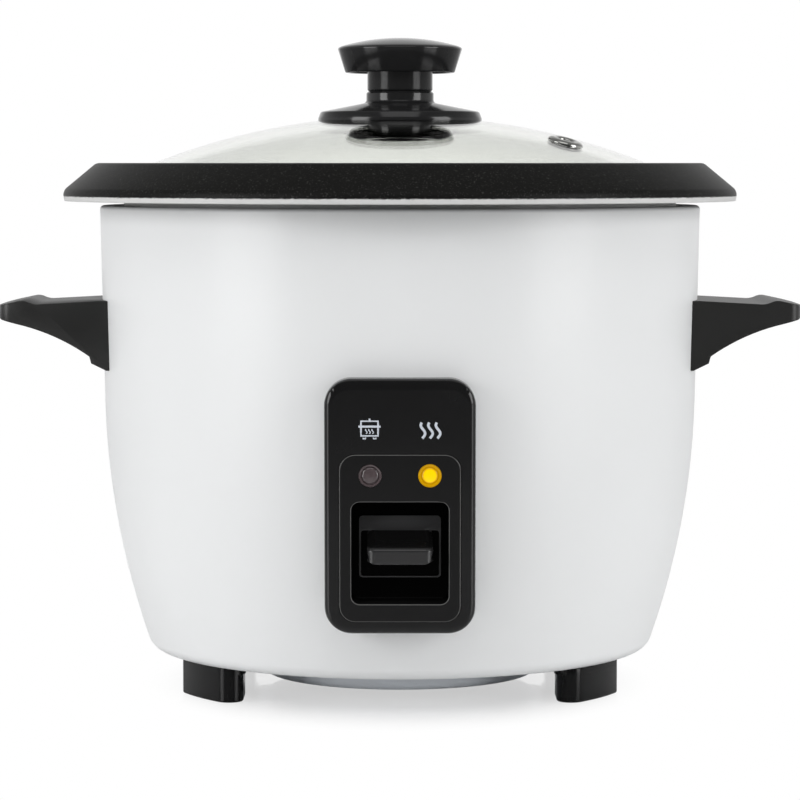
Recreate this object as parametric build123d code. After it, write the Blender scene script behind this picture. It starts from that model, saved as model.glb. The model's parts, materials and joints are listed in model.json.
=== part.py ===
from build123d import *
import os
from math import acos, atan2, copysign, cos, degrees, hypot, radians, sin, sqrt

os.makedirs("parts", exist_ok=True)

# A drum rice cooker with a lift-out pot, a glass lid and a rocker switch lever. Millimetres.
# The origin is on the floor under the drum's axis, +Z is up and the control panel faces -Y.

# ---- driving dimensions -------------------------------------------------------------------
# Drum shell
DRUM_TOP_Z = 190.5
DRUM_TOP_R = 119.3
DRUM_SHOULDER = (117.65, 113.0)
DRUM_BELLY = (113.35, 68.0)
DRUM_HEEL = (99.06, 14.0)
DRUM_BOTTOM_Z = 14.0
DRUM_HEEL_RADIUS = 8.0
DRUM_TOP_RADIUS = 1.5
DRUM_SHEET = 0.8
DRUM_MOUTH_R = 114.0
DRUM_FLOOR_HOLE_R = 86.0

# Inner liner, the drum that the pot hangs in
LINER_R = 112.0
LINER_SHEET = 0.7
LINER_FLOOR_Z = 68.0
LINER_CORNER = 8.0
LINER_FLANGE_R = 117.6
LINER_SCREWS = ((-29.0, 0.0), (29.0, 0.0), (0.0, -38.5), (0.0, -83.0))
BAND_Z = 122.0

# Heating plate and its cast-in element
PLATE_TOP_Z = 88.0
PLATE_R = 86.0
PLATE_THICK = 9.0
PLATE_HOLE_R = 18.0
ELEMENT_RING_R = 64.0
ELEMENT_TUBE_R = 4.2
ELEMENT_Z = 73.5
ELEMENT_GAP_DEG = 28.0
PLATE_SCREW_R = 78.0
PLATE_SCREW_DEGS = (45, 135, 225, 315)

# Pot
POT_SHEET = 1.6
POT_WALL_R = 109.0
POT_CORNER = 18.0
POT_LEDGE_Z = 199.0
POT_PEAK_Z = 207.2
POT_LIP_R = 133.2
POT_LIP_Z = 195.8

# Glass lid
LID_APEX_Z = 226.0
LID_SPHERE_R = 266.5
LID_GLASS = 3.6
LID_R = 112.5
LID_BORE_R = 5.5
VENT_XY = (64.0, -39.7)
VENT_HOLE_R = 5.2

# Lid knob
KNOB_STEM_R = 13.0
KNOB_HEAD_R = 24.8
KNOB_JOINT_Z = 235.6
KNOB_TOP_Z = 256.8
KNOB_FLANGE_R = 32.6
KNOB_RIM_Z = 252.8

# Control panel
PANEL_WIDTH = 55.4
PANEL_LOW_Z = 34.6
PANEL_HIGH_Z = 129.0
PANEL_CORNER = 10.0
PANEL_FACE = ((-127.2, 142.5), (-123.9, 82.5), (-119.1, 22.5))
PANEL_WALL = 2.0
INSERT_WIDTH = 44.6
INSERT_LOW_Z = 39.1
INSERT_HIGH_Z = 101.3
INSERT_CORNER = 6.0
INSERT_PROUD = 0.5
WELL_WIDTH = 35.6
WELL_LOW_Z = 45.8
WELL_HIGH_Z = 83.6
WELL_CORNER = 3.0
WELL_FLOOR_Y = -113.8
WELL_WALL = 1.2
LAMP_X = 10.9
LAMP_Z = 93.5
LENS_R = 4.25
PANEL_BEVEL = 2.6
BODY_WINDOW = (42.0, 46.0, 100.0)
LEVER_SLOT = (15.0, 55.2, 68.2)
PANEL_SCREWS = ((-17.0, 112.0), (17.0, 112.0), (0.0, 41.6))

# Switch lever, magnet and sensor
PIVOT_Y = -45.0
PIVOT_Z = 58.0
PIN_R = 2.0
LEVER_SHEET = 1.5
LEVER_Z = 53.45
MAGNET_LOW_Z = 65.5
MAGNET_THICK = 5.0
FERRITE_LOW_Z = 78.0
SENSOR_GAP = 0.3
THIMBLE_R = 13.0
BRACKET_HALF = 12.5
BRACKET_SHEET = 1.0
BLOCK_TOP_Z = 47.2
BUTTON_Y = -75.0
RIVET_YS = (-82.0, -68.0)
RIVET_Z = 41.5
PADDLE_Z = 65.0

# Side handles
HANDLE_WIDTH = 63.0
HANDLE_REACH = 160.0
HANDLE_ROOT_Z = 153.4
HANDLE_GRIP_Z = 152.1
HANDLE_LIP_Z = 153.5
HANDLE_WALL = 2.4
HANDLE_SCREWS = ((-18.0, 140.0), (18.0, 140.0))

# Bottom plate and feet
DISH_R = 54.0
DISH_LOW_Z = 5.2
PLATE_STEP_R = 85.2
PLATE_RIM_R = 92.4
VENT_R = 2.1
VENT_PITCH = 8.0
FOOT_OUTER_R = 93.2
FOOT_INNER_R = 73.4
FOOT_SIDE_X = 60.4
FOOT_END_DEG = 23.0
FOOT_FLANGE = 3.2
FOOT_SCREW_R = 79.5
FOOT_SCREW_DEG = 32.0
POST_R = 70.0
POST_DEGS = (0, 90, 180)

# Power inlet
INLET_Z = 42.0
INLET_FACE_Y = 114.5
SOCKET_WIDTH = 24.4
SOCKET_HEIGHT = 16.4
SOCKET_DEPTH = 17.0
INLET_SCREW_X = 20.0
LEAD_R = 1.1
LEAD_PULL = 1.6
INLET_PINS = ((-7.0, INLET_Z + 2.0), (7.0, INLET_Z + 2.0), (0.0, INLET_Z - 2.0))


# ---- helpers ------------------------------------------------------------------------------
def write(name, *shapes):
    """Write one node, as a single solid or as a group of like solids."""
    solids = [solid for shape in shapes for solid in shape.solids()]
    node = solids[0] if len(solids) == 1 else Compound(solids)
    export_step(node, f"parts/{name}.step")


def turned(section):
    """Revolve a section drawn with radius as X and height as Y."""
    return revolve(Plane.XZ * section, Axis.Z)


def bent_sheet(points, radii, thickness):
    """Section of a bent sheet, from the line along the middle of its thickness."""
    return trace(FilletPolyline(*points, radius=radii), line_width=thickness)


def polygon(*points):
    """A face through the given corners."""
    return make_face(Polyline(*points, close=True))


def crown_line(radius, edge_z, top_z, lift=0.0):
    """Arc from a round edge to the axis, part of a ball centred on the axis."""
    rise = top_z - edge_z
    ball = (radius**2 + rise**2) / (2 * rise)
    half_way = top_z - ball + copysign(sqrt(ball**2 - radius**2 / 4), ball)
    return ThreePointArc((radius, edge_z + lift), (radius / 2, half_way + lift), (0, top_z + lift))


def profile_yz(section, half_width):
    """Extrude a section drawn with Y as X and height as Y, evenly to both sides of X = 0."""
    return extrude(Plane.YZ * section, half_width, both=True)


def post(x, y, low, high, radius):
    """An upright cylinder between two heights."""
    return Pos(x, y, (low + high) / 2) * Cylinder(radius, high - low)


def block(x_span, y_span, z_span):
    """A box between the given limits."""
    middle = [(low + high) / 2 for low, high in (x_span, y_span, z_span)]
    size = [high - low for low, high in (x_span, y_span, z_span)]
    return Pos(*middle) * Box(*size)


def rounded_block(width, z_span, corner, y_span):
    """A bar along Y with a rounded rectangular section centred on X = 0."""
    section = RectangleRounded(width, z_span[1] - z_span[0], corner)
    face = Plane.XZ.offset(-y_span[1]) * Pos(0, (z_span[0] + z_span[1]) / 2) * section
    return extrude(face, y_span[1] - y_span[0])


def rod_y(x, z, y_span, radius):
    """A round bar along Y."""
    bar = Cylinder(radius, y_span[1] - y_span[0])
    return Pos(x, (y_span[0] + y_span[1]) / 2, z) * Rot(90, 0, 0) * bar


def rod_x(y, z, x_span, radius):
    """A round bar along X."""
    bar = Cylinder(radius, x_span[1] - x_span[0])
    return Pos((x_span[0] + x_span[1]) / 2, y, z) * Rot(0, 90, 0) * bar


def pan_screw(shank_r, shank, head_r, head):
    """A screw along Z with its tip up and its rounded head below Z = 0."""
    outline = Polyline((0, shank), (shank_r * 0.5, shank), (shank_r, shank - 1.2), (shank_r, 0), (head_r, 0))
    return turned(make_face(outline + crown_line(head_r, 0, -head) + Line((0, -head), (0, shank))))


def around(radius, angles):
    """Places on a circle, each turned to face outwards."""
    return [Rot(0, 0, angle) * Pos(radius, 0, 0) for angle in angles]


def coil(mean_r, wire_r, low, high, turns):
    """A compression spring round the Z axis between two heights."""
    rise = high - low - 2 * wire_r
    path = Helix(pitch=rise / turns, height=rise, radius=mean_r)
    wire = Plane(path @ 0, z_dir=path % 0) * Circle(wire_r)
    return Pos(0, 0, low + wire_r) * sweep(wire, path=path, is_frenet=True)


# ---- drum shell ---------------------------------------------------------------------------
def drum_form():
    """The drum's outer form, filled."""
    outline = Polyline((0, DRUM_BOTTOM_Z), DRUM_HEEL)
    outline += ThreePointArc(DRUM_HEEL, DRUM_BELLY, DRUM_SHOULDER)
    outline += Polyline(DRUM_SHOULDER, (DRUM_TOP_R, DRUM_TOP_Z), (0, DRUM_TOP_Z), (0, DRUM_BOTTOM_Z))
    form = turned(make_face(outline))
    rims = form.edges().filter_by(GeomType.CIRCLE).sort_by(Axis.Z)
    form = fillet(rims[0], DRUM_HEEL_RADIUS)
    rims = form.edges().filter_by(GeomType.CIRCLE).sort_by(Axis.Z)
    return fillet(rims[-1], DRUM_TOP_RADIUS)


DRUM = drum_form()
DRUM_INSIDE = offset(DRUM, amount=-DRUM_SHEET)


def outer_body():
    """Enamelled shell with turned-in rims and the windows for panel, inlet and screws."""
    shell = DRUM - DRUM_INSIDE
    shell -= post(0, 0, DRUM_TOP_Z - 5, DRUM_TOP_Z + 1, DRUM_MOUTH_R)
    shell -= post(0, 0, DRUM_BOTTOM_Z - 1, DRUM_BOTTOM_Z + 5, DRUM_FLOOR_HOLE_R)
    shell -= rounded_block(BODY_WINDOW[0], BODY_WINDOW[1:], 4.0, (-130, -90))
    shell -= rounded_block(31.6, (INLET_Z - 10.3, INLET_Z + 10.3), 2.0, (90, 120))
    for x, z in PANEL_SCREWS:
        shell -= rod_y(x, z, (-125, -95), 1.7)
    for x in (-INLET_SCREW_X, INLET_SCREW_X):
        shell -= rod_y(x, INLET_Z, (95, 120), 1.7)
    for y, z in HANDLE_SCREWS:
        shell -= rod_x(y, z, (-125, -105), 2.2) + rod_x(y, z, (105, 125), 2.2)
    return shell


# ---- liner and heater ---------------------------------------------------------------------
def element_end(side):
    """Where one end of the element turns down, left (-1) or right (1) of the rear centre line."""
    angle = radians(90 - side * ELEMENT_GAP_DEG / 2)
    return ELEMENT_RING_R * cos(angle), ELEMENT_RING_R * sin(angle)


def inner_liner():
    """Steel drum that hangs from the shell's rim and carries the heating plate."""
    mid = LINER_SHEET / 2
    floor, flange = LINER_FLOOR_Z + mid, DRUM_TOP_Z - DRUM_SHEET - mid
    wall = LINER_R - mid
    points = ((17.0, floor), (wall, floor), (wall, flange), (LINER_FLANGE_R, flange))
    liner = turned(bent_sheet(points, [LINER_CORNER, 1.0], LINER_SHEET))
    for place in around(PLATE_SCREW_R, PLATE_SCREW_DEGS):
        liner -= place * post(0, 0, 60, 75, 2.1)
    for side in (-1, 1):
        liner -= post(*element_end(side), 60, 75, 5.4)
    for x, y in LINER_SCREWS:
        liner -= post(x, y, 60, 75, 1.6)
    return liner


def heating_plate():
    """Cast plate with a raised ring underneath for the element and four standing feet."""
    low = PLATE_TOP_Z - PLATE_THICK
    ring_in, ring_out = ELEMENT_RING_R - 6.5, ELEMENT_RING_R + 6.5
    section = polygon(
        (PLATE_HOLE_R, low), (ring_in - 2, low), (ring_in, ELEMENT_Z), (ring_out, ELEMENT_Z),
        (ring_out + 2, low), (PLATE_R - 4, low), (PLATE_R, low + 3), (PLATE_R, PLATE_TOP_Z - 1.2),
        (PLATE_R - 1.2, PLATE_TOP_Z), (PLATE_HOLE_R + 1, PLATE_TOP_Z), (PLATE_HOLE_R, PLATE_TOP_Z - 1))
    plate = turned(section)
    plate -= Pos(0, 0, ELEMENT_Z) * Torus(ELEMENT_RING_R, ELEMENT_TUBE_R)
    foot = post(0, 0, LINER_FLOOR_Z + LINER_SHEET, low + 1, 4.6)
    for place in around(PLATE_SCREW_R, PLATE_SCREW_DEGS):
        plate += place * foot
        plate -= place * post(0, 0, 60, low + 4, 2.0)
    return plate


def heating_element():
    """Tubular element, a nearly closed ring whose ends turn down through the liner's floor."""
    section = Plane.XZ * Pos(ELEMENT_RING_R, ELEMENT_Z) * Circle(ELEMENT_TUBE_R)
    ring = revolve(section, Axis.Z, 360 - ELEMENT_GAP_DEG)
    tube = Rot(0, 0, 90 + ELEMENT_GAP_DEG / 2) * ring
    for side in (-1, 1):
        x, y = element_end(side)
        tube += Pos(x, y, ELEMENT_Z) * Sphere(ELEMENT_TUBE_R)
        tube += post(x, y, 62.0, ELEMENT_Z, ELEMENT_TUBE_R)
        tube += post(x, y, 56.0, 62.5, 1.6)
        tube += block((x - 3.1, x + 3.1), (y - 0.4, y + 0.4), (48.0, 57.0))
    return tube


def plate_screws():
    """Screws through the liner's floor into the heating plate's feet."""
    return [place * Pos(0, 0, LINER_FLOOR_Z) * pan_screw(2.0, 13.0, 3.8, 2.2)
            for place in around(PLATE_SCREW_R, PLATE_SCREW_DEGS)]


def keep_warm_heater():
    """Mica band heater round the back of the liner."""
    section = Pos(LINER_R + 0.6, BAND_Z) * Rectangle(1.2, 20.0)
    return Rot(0, 0, -15) * revolve(Plane.XZ * section, Axis.Z, 210)


def heater_strap():
    """Spring steel strap that holds the band heater."""
    section = Pos(LINER_R + 1.5, BAND_Z) * Rectangle(0.6, 6.0)
    return Rot(0, 0, -19) * revolve(Plane.XZ * section, Axis.Z, 218)


# ---- magnetic thermostat ------------------------------------------------------------------
def thermostat_housing():
    """Thimble hung under the liner's floor, with two ears and the rod's guide hole."""
    inside = THIMBLE_R - 0.8
    tube = turned(polygon(
        (3.2, 62.8), (THIMBLE_R, 62.8), (THIMBLE_R, 82.0), (inside, 82.0), (inside, 64.0), (3.2, 64.0)))
    ears = extrude(SlotOverall(72.0, 18.0), 1.4) + extrude(Circle(20.0), 1.4)
    ears -= extrude(Circle(THIMBLE_R - 0.5), 1.4)
    for x, y in LINER_SCREWS[:2]:
        ears -= Pos(x, y, 0) * Cylinder(1.6, 10)
    return tube + Pos(0, 0, LINER_FLOOR_Z - 1.4) * ears


def sensor_cup():
    """Aluminium cap that touches the pot, with a skirt that slides over the thimble."""
    top = PLATE_TOP_Z - SENSOR_GAP
    skirt_in, skirt_out = THIMBLE_R + 0.6, THIMBLE_R + 1.4
    return turned(polygon(
        (0, 85.5), (skirt_in, 85.5), (skirt_in, 74.0), (skirt_out, 74.0), (skirt_out, 85.0),
        (16.2, 85.0), (16.2, top - 0.6), (15.6, top), (0, top)))


def magnet_rod():
    """Rod that carries the magnet, with the collar that the lever lifts and a retaining head."""
    return turned(polygon(
        (0, 48.0), (5.0, 48.0), (5.0, 49.5), (2.5, 49.5), (2.5, 55.0), (5.0, 55.0), (5.0, 56.5), (2.5, 56.5),
        (2.5, 64.3), (9.0, 64.3), (9.0, MAGNET_LOW_Z), (0, MAGNET_LOW_Z)))


def magnet():
    """Ring magnet that sticks to the ferrite while the cooker boils."""
    top = MAGNET_LOW_Z + MAGNET_THICK
    return turned(polygon((0, MAGNET_LOW_Z), (10.6, MAGNET_LOW_Z), (10.6, top - 0.5), (10.1, top), (0, top)))


# ---- switch mechanism ---------------------------------------------------------------------
def switch_bracket():
    """U-shaped steel bracket under the liner with two cheeks for the pin and the contact block."""
    half, top = BRACKET_HALF, LINER_FLOOR_Z
    bracket = block((-half, half), (-88.0, -33.0), (top - BRACKET_SHEET, top))
    cheek = polygon((-33, top), (-33, 60), (-39, 51), (-58, 48), (-63, 37), (-88, 37), (-88, top))
    inside = block((BRACKET_SHEET - half, half - BRACKET_SHEET), (-90, -30), (30, 70))
    bracket += profile_yz(cheek, half) - inside
    bracket -= rod_x(PIVOT_Y, PIVOT_Z, (-14, 14), PIN_R)
    for y in RIVET_YS:
        bracket -= rod_x(y, RIVET_Z, (-14, 14), 1.5)
    for x, y in LINER_SCREWS[2:]:
        bracket -= post(x, y, 60, 75, 1.6)
    return bracket


def lever_pin():
    """Pivot pin, headed at one end and peened at the other."""
    half = BRACKET_HALF
    pin = rod_x(PIVOT_Y, PIVOT_Z, (-half, half), PIN_R)
    head = rod_x(PIVOT_Y, PIVOT_Z, (half, half + 1.2), 3.4)
    return pin + head + rod_x(PIVOT_Y, PIVOT_Z, (-half - 0.8, -half), 2.7)


def switch_block():
    """Contact block between the bracket's cheeks, with its tabs and the button's bore."""
    half = BRACKET_HALF - BRACKET_SHEET
    body = block((-half, half), (-86, -64), (38, BLOCK_TOP_Z))
    body -= post(0, BUTTON_Y, 40.0, 50.0, 1.6)
    for y in RIVET_YS:
        body -= rod_x(y, RIVET_Z, (-14, 14), 1.5)
    for x in (-7, 7):
        body += block((x - 0.4, x + 0.4), (BUTTON_Y - 3.1, BUTTON_Y + 3.1), (29.0, 38.5))
    return body


def block_rivets():
    """Two rivets through the cheeks and the contact block."""
    half, head = BRACKET_HALF, BRACKET_HALF + 0.9
    return [rod_x(y, RIVET_Z, (-half, half), 1.5) + rod_x(y, RIVET_Z, (half, head), 2.6)
            + rod_x(y, RIVET_Z, (-head, -half), 2.6) for y in RIVET_YS]


def switch_button():
    """Button of the contact block, just under the lever."""
    return post(0, BUTTON_Y, 44.0, LEVER_Z - LEVER_SHEET / 2 - 0.3, 1.5)


def switch_lever():
    """Bent steel lever with a fork round the magnet rod and two ears on the pin."""
    line = ((7.5, LEVER_Z), (-86, LEVER_Z), (-103, PADDLE_Z), (-114.5, PADDLE_Z))
    side = bent_sheet(line, [5.0, 5.0], LEVER_SHEET)
    lever = profile_yz(side, 6.0)
    top = LEVER_Z + LEVER_SHEET / 2
    lever += block((-10.4, 10.4), (-50.5, -39.5), (LEVER_Z - LEVER_SHEET / 2, top))
    for x_span in ((-10.4, -9.2), (9.2, 10.4)):
        lever += rod_x(PIVOT_Y, PIVOT_Z, x_span, 4.4)
        lever += block(x_span, (PIVOT_Y - 4.4, PIVOT_Y + 4.4), (top, PIVOT_Z))
    lever -= rod_x(PIVOT_Y, PIVOT_Z, (-12, 12), PIN_R + 0.05)
    lever -= block((-3.3, 3.3), (0, 8), (50, 57)) + post(0, 0, 50, 57, 3.3)
    return lever


def switch_paddle():
    """Moulded paddle with the shield that fills the well behind it, gripped on the lever's end."""
    shield = profile_yz(polygon(
        (-115.6, 55.6), (-119.5, 55.6), (-119.5, 73.3), (-115.9, 78.0), (-115.6, 78.0)), 15.0)
    shield = fillet(shield.edges().filter_by(Axis.Z), 1.2)
    tongue = profile_yz(polygon(
        (-117.5, 61.2), (-127.4, 60.3), (-127.9, 66.2), (-126.9, 67.4), (-119.4, 73.4), (-117.5, 73.4)), 12.1)
    tongue = fillet(tongue.edges().filter_by(Axis.Z, tolerance=6).sort_by(Axis.Y)[:2], 2.4)
    grip = block((-6.4, 6.4), (-115.8, -107.0), (PADDLE_Z - 1.6, PADDLE_Z + 1.6))
    socket = block((-6.0, 6.0), (-114.5, -105.0), (PADDLE_Z - LEVER_SHEET / 2, PADDLE_Z + LEVER_SHEET / 2))
    return shield + tongue + grip - socket


# ---- control panel ------------------------------------------------------------------------
def behind_face(shift):
    """All that lies behind the panel's gently bowed face, moved back by shift."""
    high, middle, low = [(y + shift, z) for y, z in PANEL_FACE]
    outline = ThreePointArc(low, middle, high) + Polyline(high, (-60, high[1]), (-60, low[1]), low)
    return profile_yz(make_face(outline), 60)


def panel_bezel():
    """Hollow panel moulding with a bevelled rim, the insert's window and three screw bosses."""
    span = (PANEL_LOW_Z, PANEL_HIGH_Z)
    shell = rounded_block(PANEL_WIDTH, span, PANEL_CORNER, (-135, -90)) & behind_face(0)
    shell = chamfer(shell.faces().sort_by(Axis.Y)[0].edges(), PANEL_BEVEL)
    inner = (PANEL_LOW_Z + PANEL_WALL, PANEL_HIGH_Z - PANEL_WALL)
    hollow = rounded_block(PANEL_WIDTH - 2 * PANEL_WALL, inner, PANEL_CORNER - PANEL_WALL, (-135, -90))
    shell -= hollow & behind_face(PANEL_WALL)
    shell -= rounded_block(INSERT_WIDTH, (INSERT_LOW_Z, INSERT_HIGH_Z), INSERT_CORNER, (-135, -90))
    for x, z in PANEL_SCREWS[:2]:
        boss = rod_y(x, z, (-130, -100), 3.6) & behind_face(PANEL_WALL - 0.5)
        shell += boss - rod_y(x, z, (-122.8, -100), 1.3)
    return shell - DRUM


def switch_surround():
    """Raised insert with the lamp tubes and the well that the paddle works in."""
    plate_span = (INSERT_LOW_Z + 0.05, INSERT_HIGH_Z - 0.05)
    plate = rounded_block(INSERT_WIDTH - 0.1, plate_span, INSERT_CORNER, (-135, -90))
    plate = plate & (behind_face(-INSERT_PROUD) - behind_face(PANEL_WALL + 0.01))
    flange_span = (INSERT_LOW_Z - 0.9, INSERT_HIGH_Z + 1.5)
    flange = rounded_block(INSERT_WIDTH + 3.0, flange_span, INSERT_CORNER, (-135, -90))
    plate += flange & (behind_face(PANEL_WALL) - behind_face(PANEL_WALL + 1.2))
    outer_span = (WELL_LOW_Z - 1.5, WELL_HIGH_Z + 1.5)
    well_back = WELL_FLOOR_Y + WELL_WALL
    well = rounded_block(WELL_WIDTH + 3.0, outer_span, WELL_CORNER + 1.5, (-135, well_back))
    plate += well & behind_face(PANEL_WALL)
    for x in (-LAMP_X, LAMP_X):
        plate += rod_y(x, LAMP_Z, (-135, -115.0), LENS_R + 1.3) & behind_face(PANEL_WALL)
    foot_x, foot_z = PANEL_SCREWS[2]
    plate += (rod_y(foot_x, foot_z, (-130, -100), 2.6) & behind_face(PANEL_WALL)) - DRUM
    plate -= rod_y(foot_x, foot_z, (-117.5, -100), 1.3)
    plate -= rounded_block(WELL_WIDTH, (WELL_LOW_Z, WELL_HIGH_Z), WELL_CORNER, (-135, WELL_FLOOR_Y))
    plate -= rounded_block(LEVER_SLOT[0], LEVER_SLOT[1:], 1.5, (-135, -105))
    for x in (-LAMP_X, LAMP_X):
        plate -= rod_y(x, LAMP_Z, (-135, -105), LENS_R + 0.05)
    return plate


def lamp_lens(x):
    """Round lens with a domed front and a plain skirt, pushed into its lamp tube."""
    front = PANEL_FACE[1][0] - 1.2
    outline = Polyline((0, 6.0), (0, 0), (LENS_R, 0), (LENS_R, 4.6)) + crown_line(LENS_R, 4.6, 6.0)
    lens = turned(make_face(outline))
    return Pos(x, front + 5.0, LAMP_Z) * Rot(90, 0, 0) * lens


def neon_lamp(x):
    """Glass neon lamp in the tube behind its lens."""
    outline = Polyline((0, 6.0), (0, 0), (2.8, 0), (2.8, 4.2)) + crown_line(2.8, 4.2, 6.0)
    lamp = turned(make_face(outline))
    return Pos(x, -113.6, LAMP_Z) * Rot(90, 0, 0) * lamp


def panel_screws():
    """Screws from inside the shell into the panel's bosses."""
    places = []
    for x, z in PANEL_SCREWS:
        wall = inside_radius(z)
        seat = -sqrt(wall**2 - (abs(x) - 2.8) ** 2) + 0.9 if x else -wall + 0.9
        places.append(Pos(x, seat, z) * Rot(90, 0, 0) * pan_screw(1.3, 7.0, 2.8, 1.6))
    return places


def inside_radius(z):
    """The shell's inner radius at a height, read from its form."""
    ring = DRUM_INSIDE & block((-150, 150), (-150, 150), (z - 0.05, z + 0.05))
    return ring.bounding_box().max.X


# ---- handles ------------------------------------------------------------------------------
def side_handle():
    """Right handle: hollow from below, ribbed, with a thumb ridge across its outer end."""
    half = HANDLE_WIDTH / 2
    reach = HANDLE_REACH
    low = ThreePointArc((121.6, 131.6), (134.0, 138.8), (150.0, 144.3))
    outline = Polyline((100, HANDLE_ROOT_Z), (100, 126.0), (114.9, 126.0), (120.9, 128.9), (121.6, 131.6))
    outline += low + Polyline((150.0, 144.3), (reach, 147.0), (reach - 1.0, 151.2))
    outline += FilletPolyline(
        (reach - 1.0, 151.2), (147.2, HANDLE_LIP_Z + 0.2), (143.2, HANDLE_GRIP_Z - 0.1),
        (117.0, HANDLE_ROOT_Z), (100, HANDLE_ROOT_Z), radius=2.0)
    body = extrude(Plane.XZ * make_face(outline), half, both=True)
    corner = reach - 4.4
    tip = ThreePointArc((corner, -half), (reach, 0), (corner, half))
    plan = make_face(tip + Polyline((corner, half), (90, half), (90, -half), (corner, -half)))
    body = body & extrude(plan, 200)
    body = fillet(body.edges().filter_by(Axis.Z, tolerance=16).group_by(Axis.X)[-1], 3.0)
    pocket = polygon((126.0, 120), (126.0, 149.6), (150.0, 149.6), (154.2, 148.9), (155.4, 120))
    hollow = extrude(Plane.XZ * pocket, half - HANDLE_WALL, both=True)
    hollow -= block((120, 160), (-1.0, 1.0), (110, 160))
    body -= hollow & extrude(offset(plan, -HANDLE_WALL - 0.2), 200)
    for y, z in HANDLE_SCREWS:
        body -= rod_x(y, z, (100, 124.0), 1.7)
    return body - DRUM


def handle_plate():
    """Steel backing plate inside the shell behind the right handle."""
    ring = DRUM_INSIDE - offset(DRUM, amount=-DRUM_SHEET - 1.2)
    plate = ring & block((100, 130), (-26, 26), (130, 150))
    for y, z in HANDLE_SCREWS:
        plate -= rod_x(y, z, (100, 130), 2.2)
    return plate


def handle_screws():
    """Screws of the right handle, heads inside."""
    seat = 114.1
    return [Pos(seat, y, z) * Rot(0, 90, 0) * pan_screw(1.7, 9.0, 3.2, 1.6) for y, z in HANDLE_SCREWS]


# ---- bottom plate, posts and feet ---------------------------------------------------------
def vent_places():
    """Centres of the round vents: four staggered patches between the dish and the feet."""
    places = []
    pitch = VENT_PITCH
    for row in range(-10, 11):
        for column in range(-11, 12):
            x = (column + (row % 2) / 2) * pitch
            y = row * pitch * 0.866
            away = degrees(atan2(abs(x), abs(y))) if y else 90.0
            if 61.5 < hypot(x, y) < 82.5 and 9.0 < away < 43.0:
                places.append((x, y))
    return places


def bottom_plate():
    """Perforated plate that closes the shell, with a flat dish in its middle and a stepped rim."""
    half = DRUM_SHEET / 2
    dish, flat, rim = DISH_LOW_Z + half, DRUM_BOTTOM_Z + half, DRUM_BOTTOM_Z + DRUM_SHEET + half
    points = (
        (0, dish), (DISH_R + 0.4, dish), (DISH_R + 2.4, flat), (PLATE_STEP_R - 0.5, flat),
        (PLATE_STEP_R + 0.4, rim), (PLATE_RIM_R, rim))
    plate = turned(bent_sheet(points, [3.0, 1.0, 0.5, 0.5], DRUM_SHEET))
    for x, y in vent_places():
        plate -= post(x, y, 10, 20, VENT_R)
    slot = block((58.5, 61.4), (-0.6, 0.6), (10, 20))
    for middle in range(10, 360, 20):
        for turn in (middle - 3, middle, middle + 3):
            plate -= Rot(0, 0, turn) * slot
    for place in around(POST_R, POST_DEGS) + foot_screw_places():
        plate -= place * post(0, 0, 10, 20, 2.1)
    return plate


def bottom_posts():
    """Round posts between the liner's floor and the bottom plate."""
    return [place * (post(0, 0, DRUM_BOTTOM_Z + DRUM_SHEET, LINER_FLOOR_Z, 4.0) - post(0, 0, 10, 34, 1.6))
            for place in around(POST_R, POST_DEGS)]


def bottom_screws():
    """Screws that hold the bottom plate to the posts."""
    return [place * Pos(0, 0, DRUM_BOTTOM_Z) * pan_screw(1.6, 12.0, 3.6, 2.0)
            for place in around(POST_R, POST_DEGS)]


def foot_screw_places():
    """Where the four feet are screwed on."""
    angle = FOOT_SCREW_DEG
    return around(FOOT_SCREW_R, (angle, 180 - angle, 180 + angle, 360 - angle))


def foot_plan(grow):
    """Plan of the rear right foot: two arcs round the drum, a side along Y and a radial end."""
    side, inner, end = FOOT_SIDE_X - grow, FOOT_INNER_R - grow, radians(FOOT_END_DEG - grow)
    corners = []
    for radius in (inner, FOOT_OUTER_R):
        start = acos(side / radius)
        corners.append([(radius * cos(a), radius * sin(a)) for a in (start, (start + end) / 2, end)])
    (in_a, in_mid, in_b), (out_a, out_mid, out_b) = corners
    outline = ThreePointArc(in_a, in_mid, in_b) + Line(in_b, out_b) + ThreePointArc(out_b, out_mid, out_a)
    face = make_face(outline + Line(out_a, in_a))
    for corner, radius in ((in_a, 3.2), (in_b, 3.2), (out_b, 3.0), (out_a, 5.5)):
        face = fillet(face.vertices().sort_by_distance((*corner, 0))[:1], radius)
    return face


def rear_right_foot():
    """Foot that follows the drum's curve, with a thin flange and a sunk screw hole."""
    foot = extrude(foot_plan(0), DRUM_BOTTOM_Z)
    foot = fillet(foot.faces().sort_by(Axis.Z)[0].edges(), 0.8)
    foot += Pos(0, 0, DRUM_BOTTOM_Z - FOOT_FLANGE) * extrude(foot_plan(1.0), FOOT_FLANGE)
    middle = Rot(0, 0, FOOT_SCREW_DEG) * Pos(FOOT_SCREW_R, 0, 0)
    foot -= middle * post(0, 0, -1, 8.0, 4.4)
    foot -= middle * post(0, 0, 5, 20, 2.0)
    return foot


def foot_screws():
    """Screws sunk in the feet."""
    return [place * Pos(0, 0, 8.0) * pan_screw(2.0, 12.0, 3.9, 2.4) for place in foot_screw_places()]


# ---- electrics ----------------------------------------------------------------------------
def socket_outline(grow):
    """Outline of a three-pin appliance inlet: a rectangle with two corners cut."""
    half_w, half_h, cut = SOCKET_WIDTH / 2 + grow, SOCKET_HEIGHT / 2 + grow, 5.0 + grow * 0.6
    face = polygon(
        (-half_w, half_h), (half_w, half_h), (half_w, -half_h + cut), (half_w - cut, -half_h),
        (-half_w + cut, -half_h), (-half_w, -half_h + cut))
    return fillet(face.vertices(), 1.5)


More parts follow.
